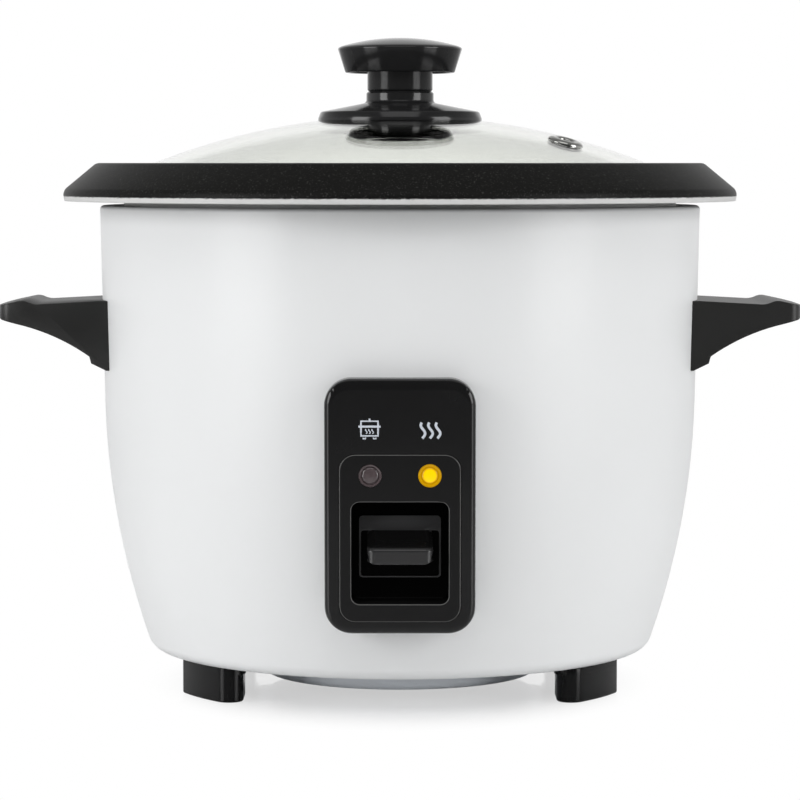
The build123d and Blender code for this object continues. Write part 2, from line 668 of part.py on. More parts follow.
def inlet_housing():
    """Appliance inlet: a flange that fits the drum, with a socket body through the shell."""
    flange = rounded_block(50.0, (INLET_Z - 15, INLET_Z + 15), 5.0, (95, INLET_FACE_Y))
    flange = chamfer(flange.faces().sort_by(Axis.Y)[-1].edges(), 1.2) - DRUM
    body = rounded_block(31.0, (INLET_Z - 10, INLET_Z + 10), 2.0, (93, INLET_FACE_Y - 1))
    housing = flange + body
    back = Plane.XZ.offset(-INLET_FACE_Y - 1) * Pos(0, INLET_Z)
    housing -= extrude(back * socket_outline(0), SOCKET_DEPTH + 1)
    for x, z in INLET_PINS:
        housing -= block((x - 1, x + 1), (90, 100), (z - 2, z + 2))
    for x in (-INLET_SCREW_X, INLET_SCREW_X):
        housing -= rod_y(x, INLET_Z, (95, 120), 1.6)
    return housing


def inlet_pins():
    """Two line pins and the earth pin, with tabs at the back."""
    return [block((x - 1, x + 1), (84.0, 110.0), (z - 2, z + 2)) for x, z in INLET_PINS]


def inlet_screws():
    """Screws through the inlet's flange."""
    screw = Rot(90, 0, 0) * pan_screw(1.6, 14.0, 3.0, 1.8)
    return [Pos(x, INLET_FACE_Y, INLET_Z) * screw for x in (-INLET_SCREW_X, INLET_SCREW_X)]


def terminal_block():
    """Porcelain block with three clamp wells, fixed under the liner."""
    body = block((30, 60), (34, 50), (57, LINER_FLOOR_Z))
    for x in (36, 45, 54):
        body -= post(x, 42, 55, 64, 2.6) + rod_y(x, 61.0, (30, 55), 1.8)
    return body


def thermal_fuse():
    """Axial thermal fuse in its sleeve."""
    return rod_x(36, 64.4, (-64, -34), 2.6) + rod_x(36, 64.4, (-70, -28), 0.8)


def fuse_clip():
    """Saddle that holds the fuse against the liner."""
    saddle = rod_x(36, 64.4, (-54, -44), 3.4) + block((-54, -44), (32.6, 39.4), (64.4, LINER_FLOOR_Z))
    saddle += block((-54, -44), (39, 47), (LINER_FLOOR_Z - 0.8, LINER_FLOOR_Z))
    return saddle - rod_x(36, 64.4, (-60, -40), 2.6)


def lead(start, end, *points):
    """One sleeved wire from (place, direction) to (place, direction) through the given points."""
    route = Spline(start[0], *points, end[0], tangents=[start[1], end[1]], tangent_scalars=[LEAD_PULL] * 2)
    return sweep(Plane(route @ 0, z_dir=route % 0) * Circle(LEAD_R), path=route)


def internal_leads():
    """Wires that join inlet, fuse, heating element, terminal block and contact block in a ring."""
    ahead, down, up, right = (0, -1, 0), (0, 0, -1), (0, 0, 1), (1, 0, 0)
    left_end, right_end = [(*element_end(side), 44.0) for side in (-1, 1)]
    line, neutral = (-7.0, 79.5, INLET_Z + 2), (7.0, 79.5, INLET_Z + 2)
    tabs = [(x, BUTTON_Y, 24.5) for x in (-7.0, 7.0)]
    near, far = (36.0, 47.0, 61.0), (54.0, 47.0, 61.0)
    return [
        lead((line, ahead), ((-70.3, 36, 64.4), right), (-36, 74, 41), (-72, 60, 48), (-88, 42, 61)),
        lead(((-27.7, 36, 64.4), right), (left_end, up), (-17, 42, 54), (-15.5, 54, 39)),
        lead((right_end, down), (near, ahead), (22, 64, 35), (34, 69, 46), (36, 60, 58.5)),
        lead(((36.0, 37.0, 61.0), ahead), (tabs[1], up), (36, 18, 55), (29, -20, 34), (9, -65, 19.6)),
        lead((neutral, ahead), (far, ahead), (20, 72, 36), (44, 68, 40), (54, 63, 55)),
        lead(((54.0, 37.0, 61.0), ahead), (tabs[0], up),
             (54, 16, 50), (48, -24, 28), (28, -68, 20), (0, -85, 18.4)),
    ]


def lead_lugs():
    """Push-on terminals of the wires, one on each tab and inlet pin."""
    lugs = []
    for side in (-1, 1):
        x, y = element_end(side)
        lugs.append(block((x - 3.7, x + 3.7), (y - 1.1, y + 1.1), (44.0, 52.5)) - heating_element())
        lugs.append(block((7 * side - 1.1, 7 * side + 1.1), (BUTTON_Y - 3.7, BUTTON_Y + 3.7), (24.5, 33.5))
                    - switch_block())
    for pin, (x, z) in zip(inlet_pins(), INLET_PINS[:2]):
        lugs.append(block((x - 1.7, x + 1.7), (79.5, 89.0), (z - 2.7, z + 2.7)) - pin)
    return lugs


def liner_screws():
    """Screws that hold the thimble and the switch bracket to the liner's floor."""
    lows = (LINER_FLOOR_Z - 1.4, LINER_FLOOR_Z - 1.4, LINER_FLOOR_Z - 1.0, LINER_FLOOR_Z - 1.0)
    return [Pos(x, y, low) * pan_screw(1.6, 4.0, 2.8, 1.6) for (x, y), low in zip(LINER_SCREWS, lows)]


# ---- pot ----------------------------------------------------------------------------------
def inner_pot():
    """Spun aluminium pot with a ledge for the lid and a flared rim."""
    mid = POT_SHEET / 2
    ledge, peak = POT_LEDGE_Z - mid, POT_PEAK_Z - mid
    points = (
        (0, PLATE_TOP_Z + mid), (POT_WALL_R, PLATE_TOP_Z + mid), (POT_WALL_R, ledge), (113.8, ledge),
        (118.4, peak), (120.4, peak), (POT_LIP_R, POT_LIP_Z), (132.6, 192.3))
    return turned(bent_sheet(points, [POT_CORNER, 1.2, 1.5, 1.6, 2.0, 2.0], POT_SHEET))


# ---- lid ----------------------------------------------------------------------------------
def dome(apex_drop):
    """All that lies under the lid's outer dome, sunk by the given depth."""
    radius = LID_SPHERE_R - apex_drop
    ball = Pos(0, 0, LID_APEX_Z - LID_SPHERE_R) * Sphere(radius)
    return ball & post(0, 0, 150, LID_APEX_Z + 1, 130)


def vent_frame(drop):
    """A frame on the dome at the vent, with its Z along the dome's normal."""
    x, y = VENT_XY
    height = sqrt(LID_SPHERE_R**2 - x**2 - y**2)
    normal = Vector(x, y, height).normalized()
    centre = Vector(0, 0, LID_APEX_Z - LID_SPHERE_R)
    return Plane(origin=centre + normal * (LID_SPHERE_R - drop), z_dir=normal)


def lid_glass():
    """Domed glass with a centre bore and the vent's hole."""
    glass = (dome(0) - dome(LID_GLASS)) & post(0, 0, POT_LEDGE_Z, LID_APEX_Z + 1, LID_R)
    glass -= post(0, 0, 200, 240, LID_BORE_R)
    return glass - vent_frame(LID_GLASS / 2) * Cylinder(VENT_HOLE_R, 12)


def vent_eyelet():
    """Rolled steel eyelet that lines the steam vent."""
    under = -LID_GLASS - 0.15
    section = polygon(
        (3.0, 0.9), (3.8, 1.3), (6.0, 1.1), (7.0, 0.5), (7.0, 0.0), (VENT_HOLE_R, 0.0), (VENT_HOLE_R, under),
        (6.6, under), (6.6, under - 0.6), (3.8, under - 0.9), (3.0, under - 0.6))
    return vent_frame(0) * turned(section)


def knob():
    """Knob: a dished head on a round stem."""
    outline = Polyline((0, KNOB_JOINT_Z), (12.4, KNOB_JOINT_Z), (KNOB_STEM_R, KNOB_JOINT_Z + 0.6))
    rim, brow = (KNOB_HEAD_R, KNOB_RIM_Z), (KNOB_HEAD_R - 1.2, KNOB_RIM_Z + 1.1)
    outline += Polyline((KNOB_STEM_R, KNOB_JOINT_Z + 0.6), (KNOB_STEM_R, 243.6), (22.3, 243.6), rim)
    outline += ThreePointArc(rim, (KNOB_HEAD_R - 0.3, KNOB_RIM_Z + 0.8), brow)
    outline += crown_line(*brow, KNOB_TOP_Z)
    outline += Line((0, KNOB_TOP_Z), (0, KNOB_JOINT_Z))
    return turned(make_face(outline)) - post(0, 0, 230, 249, 2.4)


def knob_base():
    """Flange under the knob, hollow underneath, with its rim on the glass."""
    outline = Polyline((2.6, 215), (2.6, KNOB_JOINT_Z), (12.6, KNOB_JOINT_Z), (13.4, KNOB_JOINT_Z - 0.8))
    outline += FilletPolyline(
        (13.4, KNOB_JOINT_Z - 0.8), (13.4, 230.6), (31.7, 227.7), (KNOB_FLANGE_R, 224.9),
        (KNOB_FLANGE_R, 215), radius=[1.2, 0.8, 0.4])
    outline += Line((KNOB_FLANGE_R, 215), (2.6, 215))
    base = turned(make_face(outline)) - dome(0)
    hollow = polygon((9.0, 215), (9.0, 228.0), (14.0, 228.0), (28.0, 226.2), (29.6, 224.0), (29.6, 215))
    return base - turned(hollow)


def knob_gasket():
    """Rubber gasket under the glass, with a spigot in the bore."""
    disc = turned(polygon(
        (2.6, 219.9), (12.8, 219.9), (12.8, 224), (LID_BORE_R, 224), (LID_BORE_R, 225.5), (2.6, 225.5)))
    inside_bore = post(0, 0, 210, 225.5, LID_BORE_R)
    return (disc & dome(LID_GLASS)) + (disc & inside_bore)


def knob_washer():
    """Dished stainless washer under the gasket."""
    points = ((2.6, 219.4), (8.6, 219.4), (11.0, 217.2), (17.0, 217.2), (22.0, 219.6))
    return turned(bent_sheet(points, [1.5, 1.5, 3.0], 0.9))


def knob_screw():
    """Cap screw from inside the lid up into the knob."""
    outline = Polyline((0, 246), (1.4, 246), (2.35, 244.8), (2.35, 218.95), (7.9, 218.95), (7.9, 217.4))
    return turned(make_face(outline + crown_line(7.9, 217.4, 216.1) + Line((0, 216.1), (0, 246))))


# ---- build every node ---------------------------------------------------------------------
write("outer_body", outer_body())
write("inner_liner", inner_liner())
write("heating_plate", heating_plate())
write("heating_element", heating_element())
write("plate_screws", *plate_screws())
write("keep_warm_heater", keep_warm_heater())
write("heater_strap", heater_strap())

write("thermostat_housing", thermostat_housing())
write("sensor_spring", coil(15.3, 0.5, LINER_FLOOR_Z, 85.0, 3.5))
write("sensor_cup", sensor_cup())
write("ferrite_disc", post(0, 0, FERRITE_LOW_Z, 85.5, 11.5))
write("magnet_spring", coil(6.0, 0.4, MAGNET_LOW_Z + MAGNET_THICK, FERRITE_LOW_Z, 2.5))
write("magnet", magnet())
write("magnet_rod", magnet_rod())

write("switch_bracket", switch_bracket())
write("lever_pin", lever_pin())
write("switch_block", switch_block())
write("block_rivets", *block_rivets())
write("switch_button", switch_button())
write("switch_lever", switch_lever())
write("switch_paddle", switch_paddle())
write("liner_screws", *liner_screws())

write("panel_bezel", panel_bezel())
write("switch_surround", switch_surround())
write("cook_lens", lamp_lens(-LAMP_X))
write("warm_lens", lamp_lens(LAMP_X))
write("cook_lamp", neon_lamp(-LAMP_X))
write("warm_lamp", neon_lamp(LAMP_X))
write("panel_screws", *panel_screws())

HANDLE = side_handle()
BACKING = handle_plate()
BACKING_SCREWS = handle_screws()
write("handle_right", HANDLE)
write("handle_left", mirror(HANDLE, Plane.YZ))
write("handle_plates", BACKING, mirror(BACKING, Plane.YZ))
write("handle_screws", *BACKING_SCREWS, *[mirror(screw, Plane.YZ) for screw in BACKING_SCREWS])

write("bottom_plate", bottom_plate())
write("bottom_posts", *bottom_posts())
write("bottom_screws", *bottom_screws())
FOOT = rear_right_foot()
write("foot_rear_right", FOOT)
write("foot_rear_left", mirror(FOOT, Plane.YZ))
write("foot_front_right", mirror(FOOT, Plane.XZ))
write("foot_front_left", Rot(0, 0, 180) * FOOT)
write("foot_screws", *foot_screws())

write("inlet_housing", inlet_housing())
write("inlet_pins", *inlet_pins())
write("inlet_screws", *inlet_screws())
write("terminal_block", terminal_block())
write("thermal_fuse", thermal_fuse())
write("fuse_clip", fuse_clip())
write("internal_leads", *internal_leads())
write("lead_lugs", *lead_lugs())

write("inner_pot", inner_pot())
write("lid_glass", lid_glass())
write("vent_eyelet", vent_eyelet())
write("knob", knob())
write("knob_base", knob_base())
write("knob_gasket", knob_gasket())
write("knob_washer", knob_washer())
write("knob_screw", knob_screw())
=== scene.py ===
"""Rice cooker: the visible pieces of a 1.8 litre drum cooker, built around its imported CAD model."""

import json
from math import atan2, cos, degrees, pi, radians, sin, sqrt

import bpy
from bpy.props import FloatProperty, FloatVectorProperty, IntProperty, PointerProperty
from mathutils import Matrix, Vector


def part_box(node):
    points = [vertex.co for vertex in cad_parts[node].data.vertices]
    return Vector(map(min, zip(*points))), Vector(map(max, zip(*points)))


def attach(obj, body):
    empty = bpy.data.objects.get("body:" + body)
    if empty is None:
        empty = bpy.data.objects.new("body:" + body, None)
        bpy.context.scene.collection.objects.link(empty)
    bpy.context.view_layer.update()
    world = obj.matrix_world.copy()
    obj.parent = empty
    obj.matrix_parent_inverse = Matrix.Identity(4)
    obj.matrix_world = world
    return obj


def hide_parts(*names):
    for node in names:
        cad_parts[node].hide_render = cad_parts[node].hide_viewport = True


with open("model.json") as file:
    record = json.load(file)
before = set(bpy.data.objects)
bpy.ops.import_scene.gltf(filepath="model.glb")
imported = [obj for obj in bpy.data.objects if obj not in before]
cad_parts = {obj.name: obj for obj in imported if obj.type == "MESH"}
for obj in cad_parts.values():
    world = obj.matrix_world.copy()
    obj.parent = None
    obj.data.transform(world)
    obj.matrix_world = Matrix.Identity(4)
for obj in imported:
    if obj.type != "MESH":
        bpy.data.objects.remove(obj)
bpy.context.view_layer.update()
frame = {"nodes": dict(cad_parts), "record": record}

bl_info = {
    "name": "Rice Cooker",
    "version": (1, 0, 0),
    "blender": (4, 5, 0),
    "location": "View3D > Sidebar > Rice Cooker",
    "description": "Builds a drum rice cooker with its pot, lid, handles, panel and switch lever",
    "category": "Object",
}

MM = 0.001
RECORD = frame["record"]
NODE_SLOT = {part["node"]: part["material_slot"] for part in RECORD["subparts"]}
NODE_BODY = {node: body for body, nodes in RECORD["behaviour"]["bodies"].items() for node in nodes}

HEAD_LOW, HEAD_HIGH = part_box("knob")
PANEL_LOW, PANEL_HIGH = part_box("panel_bezel")


# ---- settings a user would change ---------------------------------------------------------
def length(name, description, default):
    """A size in metres."""
    return FloatProperty(
        name=name, description=description, default=default, min=0.0, subtype="DISTANCE", unit="LENGTH")


def colour(name, description, default):
    """A colour without alpha."""
    return FloatVectorProperty(
        name=name, description=description, default=default, min=0.0, max=1.0, size=3, subtype="COLOR")


class CookerSizes(bpy.types.PropertyGroup):
    """Sizes of the turned and moulded pieces."""

    turn_steps: IntProperty(name="Turning steps", description="Facets round turned pieces", default=144, min=24)
    sheet: length("Drum sheet", "Thickness of the enamelled sheet", 0.0008)
    pot_sheet: length("Pot sheet", "Thickness of the pot's wall", 0.0016)
    glass: length("Lid glass", "Thickness of the lid's glass", 0.0036)
    lid_radius: length("Lid ball radius", "Radius of the ball the lid's dome is part of", 0.2665)
    panel_bevel: length("Panel bevel", "Width of the bevel round the control panel", 0.0026)
    lamp_height: length("Lamp height", "Height of the two lamps over the floor", 0.0935)
    lamp_spread: length("Lamp spread", "Distance of each lamp from the middle", 0.0109)
    icon_height: length("Pictogram height", "Height of the pictograms over the floor", 0.1106)
    icon_spread: length("Pictogram spread", "Distance of each pictogram from the middle", 0.0111)


class CookerColours(bpy.types.PropertyGroup):
    """Colours of the main finishes."""

    enamel: colour("Enamel", "Stove enamel of the drum", (0.80, 0.81, 0.815))
    coating: colour("Pot coating", "Non-stick coating of the pot", (0.008, 0.008, 0.0075))
    plastic: colour("Gloss plastic", "Knob, feet and panel", (0.007, 0.007, 0.0072))
    grip: colour("Handle plastic", "Side handles", (0.017, 0.017, 0.0165))
    amber: colour("Lit lens", "Lens of the lit lamp", (0.80, 0.42, 0.0))
    rose: colour("Unlit lens", "Lens of the unlit lamp", (0.115, 0.088, 0.092))
    print_tone: colour("Pictograms", "Pictograms on the panel", (0.58, 0.62, 0.68))
    paint: colour("Bottom paint", "Paint of the bottom plate", (0.80, 0.83, 0.87))


class CookerStage(bpy.types.PropertyGroup):
    """Camera and light."""

    distance: length("Camera distance", "Distance of the camera in front of the drum's axis", 1.350)
    eye: length("Camera height", "Height of the camera over the floor", 0.2072)
    pitch: FloatProperty(
        name="Pitch", description="Downward tilt of the camera", default=radians(4.017), subtype="ANGLE")
    lens: FloatProperty(name="Lens", description="Focal length in millimetres", default=151.9, min=1.0)
    ambient: FloatProperty(name="Ambient", description="Strength of the light all round", default=0.86, min=0.0)


# ---- modelling helpers --------------------------------------------------------------------
def active():
    """The object being worked on."""
    return bpy.context.view_layer.objects.active


def work_on(obj):
    """Leave edit mode and make one object the only selected one."""
    if active() and active().mode != "OBJECT":
        bpy.ops.object.mode_set(mode="OBJECT")
    bpy.ops.object.select_all(action="DESELECT")
    if obj:
        obj.select_set(True)
        bpy.context.view_layer.objects.active = obj


def added(name):
    """Name the primitive that was just added and put its place in its mesh."""
    obj = active()
    obj.name = obj.data.name = name
    bpy.ops.object.transform_apply(location=True, rotation=True, scale=True)
    return obj


def open_all(obj):
    """Open a mesh in edit mode with everything selected."""
    work_on(obj)
    bpy.ops.object.mode_set(mode="EDIT")
    bpy.ops.mesh.select_all(action="SELECT")


def leave(obj):
    """Leave edit mode and give the object back."""
    bpy.ops.object.mode_set(mode="OBJECT")
    return obj


def close_up(obj, threshold=1e-6, outwards=True):
    """Merge doubles and, unless told not to, turn all faces outwards."""
    open_all(obj)
    bpy.ops.mesh.remove_doubles(threshold=threshold)
    if outwards:
        bpy.ops.mesh.normals_make_consistent(inside=False)
    return leave(obj)


def pick(obj, mode, test):
    """Select the vertices, edges or faces whose middle and direction pass a test, and open edit mode."""
    work_on(obj)
    mesh = obj.data
    for group in (mesh.vertices, mesh.edges, mesh.polygons):
        group.foreach_set("select", [False] * len(group))
    if mode == "VERT":
        for vert in mesh.vertices:
            vert.select = test(vert.co / MM, vert.normal)
    elif mode == "EDGE":
        for edge in mesh.edges:
            start, end = (mesh.vertices[index].co for index in edge.vertices)
            edge.select = test((start + end) / 2 / MM, (end - start).normalized())
    else:
        for face in mesh.polygons:
            face.select = test(face.center / MM, face.normal)
    bpy.context.tool_settings.mesh_select_mode = (mode == "VERT", mode == "EDGE", mode == "FACE")
    bpy.ops.object.mode_set(mode="EDIT")


def bevel(obj, mode, test, width, steps):
    """Round the vertices or edges that pass a test, width in millimetres."""
    pick(obj, mode, test)
    bpy.ops.mesh.bevel(offset=width * MM, segments=steps, affect="VERTICES" if mode == "VERT" else "EDGES")
    return leave(obj)


def chain(name, points, corners=(), closed=False):
    """Draw a line of edges point by point in the XZ plane, in millimetres, and round some of its corners.

    A corner is (point number, cut along both edges, steps)."""
    work_on(None)
    places = [Vector((x, 0.0, z)) * MM for x, z in points]
    bpy.ops.mesh.primitive_plane_add(size=MM, location=places[0])
    obj = added(name)
    bpy.context.tool_settings.mesh_select_mode = (True, False, False)
    open_all(obj)
    bpy.ops.mesh.merge(type="CENTER")
    stops = places[1:] + (places[:1] if closed else [])
    for start, end in zip(places, stops):
        bpy.ops.mesh.extrude_vertices_move(TRANSFORM_OT_translate={"value": end - start})
    bpy.ops.mesh.select_all(action="SELECT")
    bpy.ops.mesh.remove_doubles(threshold=1e-7)
    leave(obj)
    for number, cut, steps in corners:
        spot = places[number] / MM
        bevel(obj, "VERT", lambda co, normal: (co - spot).length < 1e-3, cut, steps)
    return obj


def fan(centre, radius, first, last, steps):
    """Points on a circle from one angle to another, both ends included."""
    turns = [first + (last - first) * step / steps for step in range(steps + 1)]
    return [(centre[0] + radius * cos(turn), centre[1] + radius * sin(turn)) for turn in turns]


def arc(start, middle, end, steps):
    """Points on the circle through three points, both ends included."""
    (ax, ay), (bx, by), (cx, cy) = start, middle, end
    d = 2 * (ax * (by - cy) + bx * (cy - ay) + cx * (ay - by))
    a, b, c = ax**2 + ay**2, bx**2 + by**2, cx**2 + cy**2
    ux = (a * (by - cy) + b * (cy - ay) + c * (ay - by)) / d
    uy = (a * (cx - bx) + b * (ax - cx) + c * (bx - ax)) / d
    first = atan2(ay - uy, ax - ux)
    half = (atan2(by - uy, bx - ux) - first + pi) % (2 * pi) - pi
    sweep = (atan2(cy - uy, cx - ux) - first) % (2 * pi)
    sweep = sweep if half > 0 else sweep - 2 * pi
    return fan((ux, uy), sqrt((ax - ux) ** 2 + (ay - uy) ** 2), first, first + sweep, steps)


def crown(radius, edge, top, steps):
    """Points of a dome's section from its edge to the axis."""
    ball = (radius**2 + (top - edge) ** 2) / (2 * (top - edge))
    side = 1 if ball > 0 else -1
    reaches = [radius * (steps - k) / steps for k in range(steps + 1)]
    return [(r, top - ball + side * sqrt(ball**2 - r**2)) for r in reaches]


def spin(obj, steps=None):
    """Spin a drawn line once round the Z axis."""
    steps = steps or bpy.context.scene.cooker_sizes.turn_steps
    open_all(obj)
    bpy.ops.mesh.spin(steps=steps, angle=2 * pi, center=(0, 0, 0), axis=(0, 0, 1), use_auto_merge=True)
    return close_up(leave(obj))


def modify(obj, kind, **settings):
    """Add a modifier, set it and apply it."""
    work_on(obj)
    modifier = obj.modifiers.new(kind, kind)
    for key, value in settings.items():
        setattr(modifier, key, value)
    bpy.ops.object.modifier_apply(modifier=modifier.name)
    return obj


def thicken(obj, thickness, offset=0.0):
    """Give a turned sheet its thickness in metres, about the middle or to one side."""
    return modify(obj, "SOLIDIFY", thickness=thickness, offset=offset, use_even_offset=True)


def combine(obj, other, operation="DIFFERENCE"):
    """Cut with another object, or join or intersect with it, and delete that one."""
    modify(obj, "BOOLEAN", object=other, operation=operation, solver="MANIFOLD")
    bpy.data.objects.remove(other, do_unlink=True)
    return close_up(obj, outwards=False)


def slab(name, low, high):
    """A box between two corners in millimetres."""
    work_on(None)
    middle = [(a + b) / 2 * MM for a, b in zip(low, high)]
    bpy.ops.mesh.primitive_cube_add(size=1.0, location=middle, scale=[(b - a) * MM for a, b in zip(low, high)])
    return added(name)


def bar(name, x_half, z_span, corner, y_span, steps=10):
    """A bar along Y with a rounded rectangular section."""
    obj = slab(name, (-x_half, y_span[0], z_span[0]), (x_half, y_span[1], z_span[1]))
    return bevel(obj, "EDGE", lambda co, along: abs(along.y) > 0.9, corner, steps)


def rod(name, middle, length, radius, steps, tilt=0.0):
    """A round bar, upright unless it is tilted about X."""
    work_on(None)
    bpy.ops.mesh.primitive_cylinder_add(
        vertices=steps, radius=radius * MM, depth=length * MM,
        location=[value * MM for value in middle], rotation=(tilt, 0, 0))
    return added(name)


def tube(name, x, z, y_span, radius):
    """A round bar along Y."""
    return rod(name, (x, sum(y_span) / 2, z), y_span[1] - y_span[0], radius, 40, pi / 2)


def peg(name, x, y, z_span, radius, steps):
    """A round bar along Z."""
    return rod(name, (x, y, sum(z_span) / 2), z_span[1] - z_span[0], radius, steps)


def fill_and_push(obj, vector):
    """Fill a closed line and push its face out into a solid."""
    open_all(obj)
    bpy.ops.mesh.edge_face_add()
    bpy.ops.mesh.extrude_region_move(TRANSFORM_OT_translate={"value": Vector(vector) * MM})
    return close_up(leave(obj))


def turn(obj, rotation=(0, 0, 0), location=(0, 0, 0)):
    """Turn and move an object and put its place in its mesh."""
    work_on(obj)
    obj.rotation_euler = rotation
    obj.location = Vector(location)
    bpy.ops.object.transform_apply(location=True, rotation=True, scale=True)
    return obj


def moulding(name, line, half, corners=(), across=False):
    """A solid from its outline, half as far to each side of the middle.

    The outline lies in the XZ plane. With across set it lies in the YZ plane, and the width runs along X."""
    solid = fill_and_push(chain(name, line, corners, closed=True), (0, 2 * half, 0))
    if across:
        return turn(solid, (0, 0, pi / 2), (half * MM, 0, 0))
    return turn(solid, location=(0, -half * MM, 0))


def soften(obj, width, angle, steps=2):
    """Round the sharp edges a little, width in millimetres, and shade the rest smooth."""
    modify(obj, "BEVEL", width=width * MM, segments=steps, limit_method="ANGLE", angle_limit=radians(angle),
           use_clamp_overlap=True, harden_normals=False)
    return modify(shade(obj), "WEIGHTED_NORMAL", mode="FACE_AREA", weight=80, keep_sharp=True)


def shade(obj, angle=32.0):
    """Smooth shading that keeps true edges."""
    work_on(obj)
    bpy.ops.object.shade_smooth_by_angle(angle=radians(angle))
    return obj


def twin(obj, name, matrix):
    """A copy with its own mesh, placed by a matrix."""
    work_on(obj)
    bpy.ops.object.duplicate(linked=False)
    copy = active()
    copy.name = copy.data.name = name
    copy.data.transform(matrix)
    if matrix.determinant() < 0:
        open_all(copy)
        bpy.ops.mesh.flip_normals()
        leave(copy)
    return copy


def joined(name, pieces):
    """Several meshes as one piece."""
    work_on(pieces[0])
    for piece in pieces[1:]:
        piece.select_set(True)
    bpy.ops.object.join()
    obj = active()
    obj.name = obj.data.name = name
    return obj


def fit_out(obj, node, replaces=True, material=None):
    """Give a finished piece the material of its node's slot and its body, and hide the CAD node it replaces."""
    slot = NODE_SLOT[node]
    obj.data.materials.clear()
    obj.data.materials.append(material or finish_for(slot))
    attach(obj, NODE_BODY[node])
    if replaces:
        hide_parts(node)
    return obj


# ---- the panel's face ---------------------------------------------------------------------
INSERT_LEVELS = (38.0, 102.5)
INSERT_PROUD = 0.65


def face_y(z):
    """Where the panel's bowed face stands at a height."""
    rise = (z - 82.5) / 60.0
    return -123.9 - 4.05 * rise + 0.75 * rise**2


# ---- materials ----------------------------------------------------------------------------
WHITE = (1.0, 1.0, 1.0)


class Graph:
    """A node tree that is built up with a few helpers."""

    def __init__(self, owner):
        owner.use_nodes = True
        self.tree = owner.node_tree

    def feed(self, socket, value):
        """Link a value to a socket, or set it there if it is a constant."""
        if isinstance(value, bpy.types.NodeSocket):
            self.tree.links.new(value, socket)
        elif socket.type == "RGBA":
            socket.default_value = (*value, 1.0)
        else:
            socket.default_value = value

    def node(self, kind, *values, sockets=(), **settings):
        """Add a node, set its properties, and feed its first inputs and the ones given in sockets."""
        node = self.tree.nodes.new("ShaderNode" + kind)
        for key, value in settings.items():
            setattr(node, key, value)
        for key, value in (*enumerate(values), *dict(sockets).items()):
            self.feed(node.inputs[key], value)
        return node

    def math(self, operation, *values):
        """The result of a maths operation on values."""
        return self.node("Math", *values, operation=operation).outputs["Value"]

    def product(self, first, second):
        """Multiply two values."""
        return self.math("MULTIPLY", first, second)

    def vector(self, operation, *values):
        """The result of an operation on vectors, a value if it measures them and else a vector."""
        node = self.node("VectorMath", *values, operation=operation)
        return node.outputs["Value" if operation in ("LENGTH", "DISTANCE") else "Vector"]

    def spread(self, value, low, high, start=0.0, end=1.0, kind="LINEAR"):
        """Map a range of values to another."""
        return self.node("MapRange", value, low, high, start, end, interpolation_type=kind).outputs["Result"]

    def ease(self, value, source, target):
        """Map a range of values to another with soft ends."""
        return self.spread(value, *source, *target, kind="SMOOTHSTEP")

    def mix(self, factor, first, second):
        """Mix two colours by a factor."""
        return self.node("Mix", factor, sockets={6: first, 7: second}, data_type="RGBA").outputs[2]

    def blend(self, factor, first, second, output):
        """Mix two shaders by a factor and link them to the tree's output."""
        mixed = self.node("MixShader", factor, first.outputs[0], second.outputs[0])
        self.feed(self.tree.nodes[output].inputs["Surface"], mixed.outputs["Shader"])


class Finish(Graph):
    """A Principled material on object coordinates."""

    def __init__(self, name, base, roughness, **sockets):
        self.material = bpy.data.materials.new(name)
        super().__init__(self.material)
        self.shader = self.tree.nodes["Principled BSDF"]
        self.set("Base Color", base)
        self.set("Roughness", roughness)
        for key, value in sockets.items():
            self.set(key.replace("_", " "), value)
        self.place = self.node("TexCoord").outputs["Object"]

    def set(self, socket, value):
        """Set or drive one of the shader's sockets."""
        self.feed(self.shader.inputs[socket], value)

    def noise(self, scale, detail=3.0, stretch=None):
        """Noise at so many waves to the metre."""
        place = self.place
        if stretch:
            place = self.node("Mapping", sockets={"Vector": place, "Scale": stretch}).outputs["Vector"]
        return self.node("TexNoise", sockets={"Vector": place, "Scale": scale, "Detail": detail}).outputs["Fac"]

    def along(self, axis):
        """The place along one axis in metres: Z is the height over the floor, Y runs from front to back."""
        return self.node("SeparateXYZ", self.place).outputs[axis]

    def relief(self, value, distance, strength=1.0):
        """Bump by a value, distance in metres."""
        bump = self.node("Bump", sockets={"Distance": distance, "Strength": strength, "Height": value})
        self.set("Normal", bump.outputs["Normal"])


def chosen(name):
    """A colour from the settings."""
    return tuple(getattr(bpy.context.scene.cooker_colours, name))


def shade_of(base, factor):
    """A colour made darker or lighter."""
    return tuple(min(1.0, channel * factor) for channel in base)


def varied(name, base, roughness, grain=900.0, depth=2e-5, contrast=0.12, stretch=None, **sockets):
    """A finish with a fine grain in its tone, gloss and surface."""
    finish = Finish(name, base, roughness, **sockets)
    grain_value = finish.noise(grain, 4.0, stretch)
    cloud = finish.noise(35.0, 2.0)
    tone = finish.spread(cloud, 0.3, 0.7)
    finish.set("Base Color", finish.mix(tone, shade_of(base, 1 - contrast), shade_of(base, 1 + contrast)))
    finish.set("Roughness", finish.spread(grain_value, 0.25, 0.75, roughness * 0.88, roughness * 1.12))
    finish.relief(grain_value, depth)
    return finish.material


def enamel():
    """Glossy stove enamel with a trace of orange peel."""
    base = chosen("enamel")
    finish = Finish("enamel", base, 0.42, Coat_Weight=0.12, Coat_Roughness=0.16, Specular_IOR_Level=0.35)
    cloud = finish.spread(finish.noise(18.0, 2.0), 0.3, 0.7)
    finish.set("Base Color", finish.mix(cloud, shade_of(base, 0.992), shade_of(base, 1.006)))
    finish.relief(finish.noise(260.0, 1.0), 1.2e-5, 0.5)
    return finish.material


